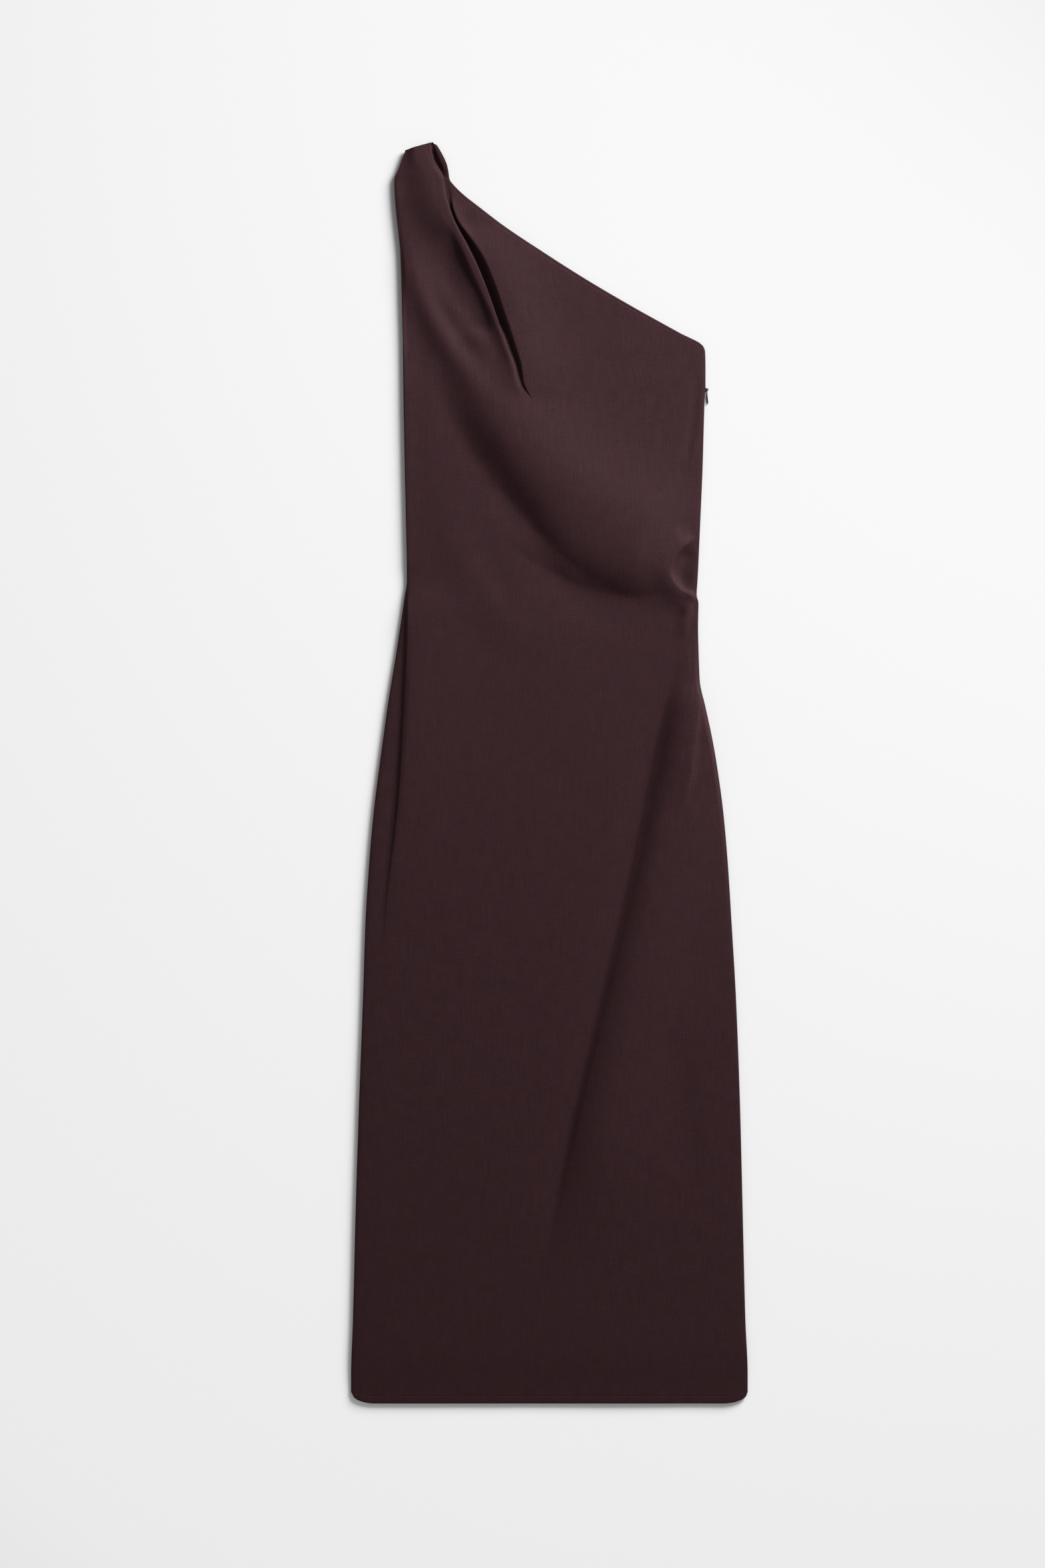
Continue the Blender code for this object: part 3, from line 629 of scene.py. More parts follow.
@dataclass
class DressForm:
    """The form in which the dress lies: its outline, its folds and how its layers are stacked."""

    # How the layers are stacked
    wall: float = 1.3
    seam_gap: float = 0.3
    layer_step: float = 1.8

    # The slant of the shoulder's rows, and the hem's round corners
    hem_y: float = -661.1
    shoulder_y: float = 653.0
    slant: float = 0.2875
    slant_fades: float = 52.0
    corner_width: float = 24.0
    corner_rise: float = 11.0
    corner_fades: float = 34.0

    # How the front stands off the back, and settles towards its edges and its hem
    edge_lift: float = 2.2
    edge_roll: float = 5.0
    edge_dip: float = 0.2
    edge_blend: float = 5.0
    edge_share: float = 0.2
    lift_softness: float = 0.5
    seam_bump: float = 0.9
    seam_width: float = 8.0
    seam_fades: float = 20.0
    waist_y: float = 205.0
    hem_settles: float = 0.8
    hem_fades: float = 60.0

    # How the side edges turn under
    roll_radius: float = 0.55
    turned_mid: float = 1.3

    # Where the columns stand: shares of the strips between the creases
    rim_share: float = 0.4
    strap_shares: tuple = (0.34, 0.68)
    tuck_shares: tuple = (1.0, 0.58, 0.25)
    chest_shares: tuple = (0.33, 0.67)
    hip_share: float = 0.55
    skirt_share: float = 0.5
    side_share: float = 0.86
    groove_most: float = 0.14
    reach_grows: float = 1.6
    reach_grows_y: float = 380.0
    reach_grows_over: float = 300.0
    bodice_y: float = 250.0
    bodice_over: float = 170.0

    # The shoulder tuck, its open hollow and the cloth beside it
    tuck_turn: float = 0.9
    lip_share: float = 0.3
    leave_gap: float = 0.5
    leave_share: float = 0.45
    ramp_gap: float = 2.4
    strap_rounds_y: float = 555.0
    strap_rounds_over: float = 45.0
    groove_floor: float = 0.3
    groove_margin: float = 3.0
    under_y: float = 392.0
    under_over: float = 20.0
    guard: float = 3.0
    guard_y: float = 585.0
    guard_over: float = 25.0
    bank_reach: float = 42.0
    neck_settles: float = 0.75
    neck_y: float = 586.0
    neck_over: float = 20.0

    # The back strap's curl up to the shoulder seam, and its loop beside the front strap
    curl_radius: float = 1.2
    curl_rows: int = 8
    back_inset: float = 1.6
    loop_y: float = 612.0
    loop_starts_y: float = 604.0
    loop_over: float = 10.0
    loop_curl: float = 3.0
    loop_curl_y: float = 620.0
    loop_curl_over: float = 9.0
    loop_curl_gain: float = 1.7
    brim_share: float = 0.08
    brim_gap: float = 1.4

    # The zip's tape
    tape_top: float = 414.0
    tape_bottom: float = 112.0
    tape_width: float = 5.6
    tape_top_x: float = 160.0
    tape_bottom_x: float = 150.6

    folds: tuple = FOLDS

    @property
    def back_mid(self) -> float:
        """Height of the back's middle surface."""
        return self.wall / 2

    @property
    def front_mid(self) -> float:
        """Height of the front's middle surface where it lies on the back."""
        return self.wall + self.seam_gap + self.wall / 2

    @property
    def tape_length(self) -> float:
        """Length of the zip's tape along its slanting line."""
        return math.hypot(self.tape_top - self.tape_bottom, self.tape_top_x - self.tape_bottom_x)

    @property
    def tuck_rise(self) -> float:
        """Height of the tuck's top layer over its lowest."""
        return 2 * self.layer_step

    def left_edge(self, y: np.ndarray) -> np.ndarray:
        """X of the front's left edge."""
        return column(OUTLINE, "left", y)

    def right_edge(self, y: np.ndarray) -> np.ndarray:
        """X of the front's right edge: the side seam, and above the underarm the neckline."""
        return column(OUTLINE, "right", y)

    def inset(self, x: np.ndarray, y: np.ndarray) -> np.ndarray:
        """Distance of each point from the nearer side edge, inwards."""
        return np.clip(np.minimum(x - self.left_edge(y), self.right_edge(y) - x), 0, None)

    def cloth_lift(self, x: np.ndarray, y: np.ndarray) -> np.ndarray:
        """Height of the front's middle surface over where it would lie flat on the back.

        Args:
            x: The points' places across the dress.
            y: The points' heights along the dress.

        Returns:
            The lift at each point.
        """
        inside = self.inset(x, y)
        settled = 1 - self.hem_settles * ease((self.hem_fades - y + self.hem_y) / self.hem_fades)
        from_left = np.clip(x - self.left_edge(y), 0, None)
        above_waist = ease((y - self.waist_y) / self.seam_fades)
        seam = self.seam_bump * above_waist * np.exp(-from_left / self.seam_width)
        rolled = 1 - self.edge_dip * np.exp(-inside / self.edge_roll)
        lift = (self.edge_lift * rolled + seam) * settled
        for fold in self.folds:
            lift = lift + fold_height(fold, x, y) * ease(inside / self.edge_blend + self.edge_share)
        softness = self.lift_softness
        return (lift + np.sqrt(lift * lift + softness * softness)) / 2 - softness / 2 * np.exp(-inside)

    def strap_lines(self, y: np.ndarray, start: np.ndarray) -> list[np.ndarray]:
        """Column lines from the left edge to the start of the tuck's cloth."""
        left = self.left_edge(y)
        gap = column(LEFT_FOLD, "x", y) - left
        fold = left + gap
        near = 1.0 + self.reach_grows * ease((self.reach_grows_y - y) / self.reach_grows_over)
        lines = [left, left + self.rim_share * gap, fold - CREASE_SIDE.within(gap), fold]
        reach = np.minimum(TUCK_SIDE.size * near, TUCK_SIDE.share * (start - fold))
        room = start - reach - fold
        lines += [fold + room * share for share in self.strap_shares]
        lines += [start - reach * share for share in self.tuck_shares]
        return lines + [start]

    def body_lines(self, y: np.ndarray, start: np.ndarray) -> list[np.ndarray]:
        """Column lines from the end of the tuck's cloth to the right edge."""
        right = self.right_edge(y)
        room = right - start
        upper = ease((y - self.bodice_y) / self.bodice_over)
        skirt = (1 - upper) * column(SKIRT_LINE, "x", y) + upper * (start + self.skirt_share * room)
        side = (1 - upper) * column(SIDE_LINE, "x", y) + upper * (start + self.side_share * room)
        groove = np.clip(column(TUCKS, "groove", y), GROOVE_LEAST.within(room), self.groove_most * room)
        near = SKIRT_SIDE.within(room)
        first = start + groove + GROOVE_SIDE.within(room)
        middle = skirt - near - first
        gap = right - side
        lines = [start, start + groove / 2, start + groove, first]
        lines += [first + middle * share for share in self.chest_shares]
        lines += [skirt - near, skirt, skirt + near]
        lines += [skirt + near + (side - skirt - near) * self.hip_share, side]
        lines += [side + CREASE_SIDE.within(gap)]
        lines += [right - edge.within(gap) for edge in EDGE_SIDES]
        return lines + [right]

    def tuck_points(self, y: np.ndarray, steps: np.ndarray) -> tuple[np.ndarray, np.ndarray]:
        """The tuck's cloth: over the lip, back under it, round the inner turn and out again.

        Args:
            y: The heights of the rows.
            steps: How far along the tuck's cloth each column is, from 0 to 1.

        Returns:
            The x and the z of each column in every row.
        """
        lip = column(LIP, "x", y)[:, None]
        hidden = column(TUCKS, "hidden", y)[:, None]
        pressed = column(TUCKS, "pressed", y)[:, None]
        spread = column(TUCKS, "spread", y)[:, None]
        rise = self.tuck_rise * column(TUCKS, "rise", y)[:, None]
        neck = self.right_edge(y)[:, None]
        turn = self.tuck_turn
        inner = lip - hidden
        leave = np.minimum(lip + self.leave_gap, inner + self.leave_share * (neck - inner))
        rows = y[:, None] + 0 * steps[None, :]
        flat_x = lip + (steps - self.lip_share) * spread
        flat_z = self.front_mid + self.cloth_lift(flat_x, rows) + rise * (1 - ease(steps))
        top = self.front_mid + self.cloth_lift(lip - turn + 0 * steps, rows) + rise
        middle = self.front_mid + self.layer_step
        lip_turn = np.pi * (0.5 - OVER_LIP.done(steps))
        inner_turn = np.pi * INNER_TURN.done(steps)
        fold_x = lip - turn + turn * np.cos(lip_turn)
        fold_x = fold_x + (inner - lip + turn) * UNDER_LIP.done(steps) - turn * np.sin(inner_turn)
        fold_x = fold_x + (leave - inner) * WAY_OUT.done(steps)
        fold_z = (top + middle) / 2 + (top - middle) / 2 * np.sin(lip_turn)
        fold_z = fold_z - self.layer_step / 2 * (1 - np.cos(inner_turn))
        return flat_x + (fold_x - flat_x) * pressed, flat_z + (fold_z - flat_z) * pressed

    def front_surface(self, rows: Sequence[float], tuck_steps: np.ndarray, parts: int) -> np.ndarray:
        """The middle surface of the front as a grid of points, one row for each height.

        Args:
            rows: The heights of the rows.
            tuck_steps: Where along the tuck's cloth its columns are.
            parts: How many strips lie between two column lines.

        Returns:
            An array of rows, columns and coordinates.
        """
        y = np.array(rows, float)
        steps = np.array(tuck_steps, float)
        tuck_x, tuck_z = self.tuck_points(y, steps)
        strap_x = split_between(self.strap_lines(y, tuck_x[:, 0]), parts)[:, :-1]
        body_x = split_between(self.body_lines(y, tuck_x[:, -1]), parts)[:, 1:]
        strap_rows = y[:, None] + 0 * strap_x
        body_rows = y[:, None] + 0 * body_x
        lip = column(LIP, "x", y)[:, None]
        rise = self.tuck_rise * column(TUCKS, "rise", y)[:, None]
        ramp_end = lip - column(TUCKS, "hidden", y)[:, None] - self.ramp_gap
        run = np.minimum(column(TUCKS, "run", y)[:, None], ramp_end - self.left_edge(y)[:, None])
        climbed = np.clip((strap_x - ramp_end + run) / run, 0, 1)
        rounded = ease((y[:, None] - self.strap_rounds_y) / self.strap_rounds_over)
        ramp = (1 - rounded) * climbed**2 + rounded * ease(climbed)
        strap_z = self.front_mid + self.cloth_lift(strap_x, strap_rows) + rise * ramp
        groove = column(TUCKS, "groove", y)[:, None] + self.groove_margin
        bank = column(TUCKS, "bank", y)[:, None]
        under = ease((y[:, None] - self.under_y) / self.under_over)
        guard = self.guard * ease((y[:, None] - self.guard_y) / self.guard_over)
        risen = ((body_x - lip - guard) / groove - self.groove_floor) / (1 - self.groove_floor)
        clear = 1 - under * (1 - ease(risen))
        beyond = np.clip(body_x - lip - groove, 0, None)
        settled = 1 - self.neck_settles * ease((body_rows - self.neck_y) / self.neck_over)
        lift = self.cloth_lift(body_x, body_rows) * settled
        lift = lift + bank * np.exp(-((beyond / self.bank_reach) ** 2))
        body_z = self.front_mid + lift * clear
        x = np.hstack([strap_x, tuck_x, body_x])
        z = np.hstack([strap_z, tuck_z, body_z])
        return self.place_rows(x, y[:, None] + 0 * x, z)

    def place_rows(self, x: np.ndarray, y: np.ndarray, z: np.ndarray) -> np.ndarray:
        """Slant the rows of the shoulder, and round the corners of the hem."""
        slant = self.slant * ease((y - self.shoulder_y + self.slant_fades) / self.slant_fades)
        shifted = y + slant * (x - self.left_edge(y))
        to_side = np.minimum(self.inset(x, y), self.corner_width)
        corner = 1 - np.sqrt(np.clip(1 - (1 - to_side / self.corner_width) ** 2, 0, 1))
        bow = self.corner_rise * ease((self.hem_y + self.corner_fades - y) / self.corner_fades)
        return np.stack([x, shifted + bow * corner, z], axis=2)

    def back_surface(
        self, rows: Sequence[float], shares: np.ndarray, brim_shares: np.ndarray
    ) -> np.ndarray:
        """The middle surface of the back: flat, with the strap's right edge and top curled up.

        Args:
            rows: The heights of the rows below the shoulder seam.
            shares: Where the columns stand between the left edge and the brim.
            brim_shares: Where the columns stand between the brim and the right edge.

        Returns:
            An array of rows, columns and coordinates.
        """
        turn = np.linspace(math.pi / 2, 0, self.curl_rows)
        start = self.shoulder_y - self.wall / 2 - self.curl_radius
        curled = [start + self.curl_radius * math.sin(angle) for angle in turn]
        y = np.array(curled[:1] + curled + list(rows))
        raised = np.zeros(len(y))
        raised[0] = self.front_mid + self.tuck_rise - self.back_mid
        raised[1 : len(turn) + 1] = [self.curl_radius * (1 - math.cos(angle)) for angle in turn]
        left = self.left_edge(y) + self.back_inset
        tape_edge = glide([self.tape_bottom, self.tape_top], [self.tape_bottom_x, self.tape_top_x], y)
        in_zip = (y < self.tape_top + self.seam_gap) & (y > self.tape_bottom - self.seam_gap)
        beside_tape = tape_edge - self.tape_width - self.seam_gap
        right = np.where(in_zip, beside_tape, self.right_edge(y) - self.back_inset)
        right = np.where(y > self.loop_y, np.maximum(right, column(LOOP, "x", y)), right)
        in_loop = ease((y - self.loop_starts_y) / self.loop_over)
        brim = (1 - in_loop) * (right - self.brim_share * (right - left))
        brim = brim + in_loop * (column(LIP, "x", y) + self.brim_gap)
        inner = left[:, None] + (brim - left)[:, None] * shares[:-1]
        outer = brim[:, None] + (right - brim)[:, None] * brim_shares
        x = np.hstack([inner, outer])
        edge_curl = self.loop_curl * ease((y - self.loop_curl_y) / self.loop_curl_over)
        edge_curl = edge_curl * ease((self.shoulder_y - y) / self.loop_over)
        past_brim = self.loop_curl_gain * (x - brim[:, None]) / (right - brim)[:, None]
        curl = edge_curl[:, None] * ease(past_brim)
        z = self.back_mid + raised[:, None] + curl
        return self.place_rows(x, y[:, None] + 0 * x, z)


def clear_selection() -> None:
    """Deselect everything, so that an operator acts on its own piece alone."""
    for item in bpy.context.selected_objects:
        item.select_set(False)


def only(piece: bpy.types.Object) -> None:
    """Make a piece the only one selected, and the active one."""
    clear_selection()
    piece.select_set(True)
    bpy.context.view_layer.objects.active = piece


def settle(piece: bpy.types.Object) -> None:
    """Move a piece's place into its mesh."""
    only(piece)
    bpy.ops.object.transform_apply(location=True, rotation=True, scale=True)


def apply_modifiers(piece: bpy.types.Object) -> None:
    """Apply all of a piece's modifiers, in order."""
    only(piece)
    for modifier in list(piece.modifiers):
        bpy.ops.object.modifier_apply(modifier=modifier.name)


@dataclass
class NodeKit:
    """Short ways to add nodes to one tree."""

    tree: bpy.types.NodeTree

    def add(self, kind: str, **settings: object) -> bpy.types.Node:
        """Add a node and set its properties."""
        node = self.tree.nodes.new(kind)
        for name, value in settings.items():
            setattr(node, name, value)
        return node

    def math(self, operation: str, first: object, second: object = None) -> bpy.types.NodeSocket:
        """Add a Math node.

        Args:
            operation: What it works out.
            first: A socket or a number.
            second: A socket, a number or nothing.

        Returns:
            Its output socket.
        """
        node = self.add("ShaderNodeMath", operation=operation)
        for socket, value in zip(node.inputs, (first, second)):
            self.feed(socket, value)
        return node.outputs[0]

    def feed(self, socket: bpy.types.NodeSocket, value: object) -> None:
        """Link a socket to an input, or set the input to a number or colour."""
        if isinstance(value, bpy.types.NodeSocket):
            self.tree.links.new(value, socket)
        elif value is not None:
            socket.default_value = value

    def fill(self, node: bpy.types.Node, values: dict) -> bpy.types.Node:
        """Feed several of a node's inputs by name or number, and return the node."""
        for key, value in values.items():
            self.feed(node.inputs[key], value)
        return node

    def total(self, *parts: tuple) -> bpy.types.NodeSocket:
        """Add up sockets, each times its weight."""
        result = None
        for socket, weight in parts:
            weighted = self.math("MULTIPLY", socket, weight)
            result = self.math("ADD", result, weighted) if result else weighted
        return result

    def noise(
        self, place: object, scale: float, detail: float, roughness: float = 0.5
    ) -> bpy.types.Node:
        """Add a Noise Texture node at a place."""
        values = {"Vector": place, "Scale": scale, "Detail": detail, "Roughness": roughness}
        return self.fill(self.add("ShaderNodeTexNoise"), values)

    def bump(self, height: object, strength: float, distance: float) -> bpy.types.NodeSocket:
        """Turn a height into a normal."""
        values = {"Height": height, "Strength": strength, "Distance": distance}
        return self.fill(self.add("ShaderNodeBump"), values).outputs[0]

    def blend(self, share: object, first: object, second: object) -> bpy.types.NodeSocket:
        """Mix two colours by a share, and return the colour socket."""
        node = self.add("ShaderNodeMix", data_type="RGBA")
        return self.fill(node, {"Factor": share, 6: first, 7: second}).outputs[2]

    def spread(
        self, value: object, low: float, high: float, to_low: float = 0.0, to_high: float = 1.0,
        kind: str = "SMOOTHSTEP",
    ) -> bpy.types.NodeSocket:
        """Map a value from one range onto another."""
        node = self.add("ShaderNodeMapRange", interpolation_type=kind)
        return self.fill(node, {0: value, 1: low, 2: high, 3: to_low, 4: to_high}).outputs[0]


class EffectGroups:
    """Node groups that more than one material uses, each built once."""

    @staticmethod
    def _group(name: str, inputs: Sequence[tuple], outputs: Sequence[str]) -> tuple:
        """Make an empty node group.

        Args:
            name: The group's name.
            inputs: A name, a socket type and a default for each input.
            outputs: The names of the value outputs.

        Returns:
            The group, a kit for its nodes, its input node and its output node.
        """
        group = bpy.data.node_groups.new(name, "ShaderNodeTree")
        for label, kind, default in inputs:
            socket = group.interface.new_socket(label, in_out="INPUT", socket_type=kind)
            if default is not None:
                socket.default_value = default
        for label in outputs:
            group.interface.new_socket(label, in_out="OUTPUT", socket_type="NodeSocketFloat")
        kit = NodeKit(group)
        return group, kit, kit.add("NodeGroupInput"), kit.add("NodeGroupOutput")

    @staticmethod
    def weave() -> bpy.types.NodeTree:
        """Fine crossing threads: each thread goes over and under its neighbours."""
        found = bpy.data.node_groups.get("fine_weave")
        if found:
            return found
        group, kit, source, result = EffectGroups._group(
            "fine_weave",
            (("Grain", "NodeSocketVector", None), ("Thread", "NodeSocketFloat", 0.0005)),
            ("Height", "Over"),
        )
        wobble = kit.noise(source.outputs["Grain"], 220.0, 2.0)
        shift = kit.add("ShaderNodeVectorMath", operation="SCALE")
        kit.fill(shift, {0: wobble.outputs["Color"], "Scale": 0.0005})
        moved = kit.add("ShaderNodeVectorMath", operation="ADD")
        kit.fill(moved, {0: source.outputs["Grain"], 1: shift.outputs[0]})
        parts = kit.fill(kit.add("ShaderNodeSeparateXYZ"), {0: moved.outputs[0]})
        turns = kit.math("DIVIDE", math.pi, source.outputs["Thread"])
        across = kit.math("SINE", kit.math("MULTIPLY", parts.outputs["X"], turns))
        down = kit.math("SINE", kit.math("MULTIPLY", parts.outputs["Y"], turns))
        over = kit.math("MULTIPLY", across, down)
        rounded = kit.math("MAXIMUM", kit.math("ABSOLUTE", across), kit.math("ABSOLUTE", down))
        kit.feed(result.inputs["Height"], kit.total((over, 0.35), (rounded, 0.6)))
        kit.feed(result.inputs["Over"], kit.math("ADD", kit.math("MULTIPLY", over, 0.5), 0.5))
        return group

    @staticmethod
    def slubs() -> bpy.types.NodeTree:
        """Long uneven threads, as faint streaks down the cloth and across it, and soft mottling."""
        found = bpy.data.node_groups.get("slub_streaks")
        if found:
            return found
        group, kit, source, result = EffectGroups._group(
            "slub_streaks",
            (("Grain", "NodeSocketVector", None),),
            ("Streak", "Mottle", "Fleck", "Cast"),
        )
        shares = []
        threads = (("down", (1250.0, 30.0, 1.0), 3.0), ("across", (60.0, 1500.0, 1.0), 2.0))
        for name, scale, detail in threads:
            mapping = kit.add("ShaderNodeMapping", name=name)
            kit.fill(mapping, {"Vector": source.outputs["Grain"], "Scale": scale})
            shares.append(kit.noise(mapping.outputs[0], 1.0, detail).outputs[0])
        kit.feed(result.inputs["Streak"], kit.total((shares[0], 0.65), (shares[1], 0.35)))
        for label, scale, detail in (("Mottle", 70.0, 6.0), ("Fleck", 820.0, 4.0), ("Cast", 46.0, 4.0)):
            noise = kit.noise(source.outputs["Grain"], scale, detail, 0.65)
            kit.feed(result.inputs[label], noise.outputs[0])
        return group

    @staticmethod
    def place(kit: NodeKit, group: bpy.types.NodeTree, grain: bpy.types.NodeSocket) -> bpy.types.Node:
        """Put a group into a material, fed by a grain vector."""
        node = kit.add("ShaderNodeGroup", node_tree=group)
        kit.feed(node.inputs["Grain"], grain)
        return node


def new_material(name: str) -> tuple:
    """Make a material with its shader.

    Args:
        name: The material's name.

    Returns:
        The material, a kit for its nodes and the Principled BSDF node.
    """
    material = bpy.data.materials.new(name)
    material.use_nodes = True
    shader = material.node_tree.nodes["Principled BSDF"]
    return material, NodeKit(material.node_tree), shader


@dataclass(frozen=True)
class ClothFinish:
    """Fine woven cloth with a soft sheen, faint slubs and a turned, sewn edge."""

    name: str
    light: tuple
    dark: tuple
    cast: tuple = (0.94, 0.99, 1.12)
    roughness: float = 0.7
    roughness_range: float = 0.12
    sheen: float = 0.08
    sheen_roughness: float = 0.35
    sheen_tint: tuple = (0.9, 0.5, 0.58)
    specular: float = 0.05
    thread: float = 0.00046
    weave_depth: float = 0.00009
    slub_depth: float = 0.00012
    stitch_depth: float = 0.00025
    relief: float = 0.8
    stitch_inset: float = 0.0031
    stitch_half: float = 0.0005
    hem_inset: float = 0.0072
    hem_half: float = 0.0008
    hem_share: float = 0.6

    def build(self) -> bpy.types.Material:
        """Make the material."""
        material, kit, shader = new_material(self.name)
        grain = kit.add("ShaderNodeUVMap", uv_map=GRAIN).outputs[0]
        weave = EffectGroups.place(kit, EffectGroups.weave(), grain)
        weave.inputs["Thread"].default_value = self.thread
        slubs = EffectGroups.place(kit, EffectGroups.slubs(), grain)
        stitch = self._line(kit, EDGE_REACH, self.stitch_inset, self.stitch_half)
        hem = self._line(kit, HEM_REACH, self.hem_inset, self.hem_half)
        sewn = kit.math("MAXIMUM", stitch, kit.math("MULTIPLY", hem, self.hem_share))
        streak = kit.spread(slubs.outputs["Streak"], 0.36, 0.64)
        mottle = kit.spread(slubs.outputs["Mottle"], 0.35, 0.66)
        fleck = kit.spread(slubs.outputs["Fleck"], 0.3, 0.7)
        tone = kit.total((streak, 0.2), (mottle, 0.1), (fleck, 0.5), (weave.outputs["Over"], 0.2))
        tinted = kit.add("ShaderNodeMix", data_type="RGBA", blend_type="MULTIPLY")
        kit.fill(tinted, {
            "Factor": kit.spread(slubs.outputs["Cast"], 0.38, 0.62, 0.1, 0.6),
            6: kit.blend(tone, (*self.dark, 1), (*self.light, 1)),
            7: (*self.cast, 1),
        })
        smoother = kit.math("MULTIPLY", streak, self.roughness_range)
        height = kit.total(
            (weave.outputs["Height"], self.weave_depth),
            (slubs.outputs["Streak"], self.slub_depth),
            (sewn, -self.stitch_depth),
        )
        kit.fill(shader, {
            "Base Color": tinted.outputs[2],
            "Roughness": kit.math("SUBTRACT", self.roughness + self.roughness_range / 2, smoother),
            "Sheen Weight": self.sheen,
            "Sheen Roughness": self.sheen_roughness,
            "Sheen Tint": (*self.sheen_tint, 1),
            "Specular IOR Level": self.specular,
            "Normal": kit.bump(height, self.relief, 1.0),
        })
        return material

    @staticmethod
    def _line(kit: NodeKit, attribute: str, inset: float, half: float) -> bpy.types.NodeSocket:
        """A mask for the line that lies one inset away from an edge.

        Args:
            kit: The material's node kit.
            attribute: The mesh attribute that holds the distance from the edge.
            inset: The line's distance from the edge.
            half: Half the line's width.

        Returns:
            A socket that is 1 on the line and 0 away from it.
        """
        reach = kit.add("ShaderNodeAttribute", attribute_name=attribute)
        off = kit.math("ABSOLUTE", kit.math("SUBTRACT", reach.outputs["Fac"], inset))
        return kit.spread(off, 0.0, half, 1.0, 0.0)


@dataclass(frozen=True)
class TapeFinish:
    """Narrow matt ribbon with fine ribs across it."""

    name: str
    color: tuple
    rib: float = 0.0007
    rib_depth: float = 0.0002
    relief: float = 0.7
    shade: float = 0.6
    roughness: float = 0.85

    def build(self) -> bpy.types.Material:
        """Make the material."""
        material, kit, shader = new_material(self.name)
        place = kit.add("ShaderNodeTexCoord").outputs["Object"]
        weave = EffectGroups.place(kit, EffectGroups.weave(), place)
        weave.inputs["Thread"].default_value = self.rib
        darker = tuple(part * self.shade for part in self.color)
        kit.fill(shader, {
            "Base Color": kit.blend(weave.outputs["Over"], (*darker, 1), (*self.color, 1)),
            "Roughness": self.roughness,
            "Normal": kit.bump(weave.outputs["Height"], self.relief, self.rib_depth),
        })
        return material


@dataclass(frozen=True)
class EnamelFinish:
    """Dark enamel on metal, a little worn where it is touched."""

    name: str
    color: tuple
    worn: tuple
    wear: float = 0.6
    wear_scale: float = 1500.0
    roughness: tuple = (0.28, 0.44)
    metallic: float = 0.6
    coat: float = 0.3

    def build(self) -> bpy.types.Material:
        """Make the material."""
        material, kit, shader = new_material(self.name)
        place = kit.add("ShaderNodeTexCoord").outputs["Object"]
        wear = kit.noise(place, self.wear_scale, 5.0).outputs[0]
        mask = kit.spread(wear, 0.58, 0.72, 0.0, self.wear)
        kit.fill(shader, {
            "Base Color": kit.blend(mask, (*self.color, 1), (*self.worn, 1)),
            "Roughness": kit.spread(wear, 0.3, 0.7, *self.roughness),
            "Metallic": self.metallic,
            "Coat Weight": self.coat,
        })
        return material


@dataclass
class ClothShell:
    """A thin sheet of cloth on a grid of points."""

    name: str
    thickness: float = 0.62

    def build(
        self, grid: np.ndarray, edge_reach: np.ndarray, hem_reach: np.ndarray
    ) -> bpy.types.Object:
        """Make the sheet, with its grain as a UV map and its distances from the edges as attributes.

        Args:
            grid: Points in millimetres, in rows and columns.
            edge_reach: Distance of each point from the sewn edge, in millimetres.
            hem_reach: Distance of each point from the hem, in millimetres.

        Returns:
            The sheet, with both faces and its rim.
        """
        rows, columns = grid.shape[:2]
        index = np.arange(rows * columns).reshape(rows, columns)
        quads = np.stack([index[:-1, :-1], index[1:, :-1], index[1:, 1:], index[:-1, 1:]], axis=2)
        mesh = bpy.data.meshes.new(self.name)
        mesh.from_pydata((grid.reshape(-1, 3) * MM).tolist(), [], quads.reshape(-1, 4).tolist())
        across = np.linalg.norm(np.diff(grid, axis=1), axis=2)
        extra = np.cumsum(across - np.diff(grid[:, :, 0], axis=1), axis=1)
        grain_x = grid[:, :, 0] + np.hstack([np.zeros((rows, 1)), extra])
        grain = np.stack([grain_x, grid[:, :, 1]], axis=2).reshape(-1, 2) * MM
        loops = np.zeros(len(mesh.loops), int)
        mesh.loops.foreach_get("vertex_index", loops)
        layer = mesh.uv_layers.new(name=GRAIN)
        layer.data.foreach_set("uv", grain[loops].astype(np.float32).ravel())
        for label, values in ((EDGE_REACH, edge_reach), (HEM_REACH, hem_reach)):
            attribute = mesh.attributes.new(label, "FLOAT", "POINT")
            attribute.data.foreach_set("value", (values.reshape(-1) * MM).astype(np.float32))
        piece = bpy.data.objects.new(self.name, mesh)
        bpy.context.scene.collection.objects.link(piece)
        wall = piece.modifiers.new("wall", "SOLIDIFY")
        wall.thickness = self.thickness * MM
        wall.offset = 0.0
        wall.use_even_offset = False
        apply_modifiers(piece)
        piece.data.shade_smooth()
        return piece


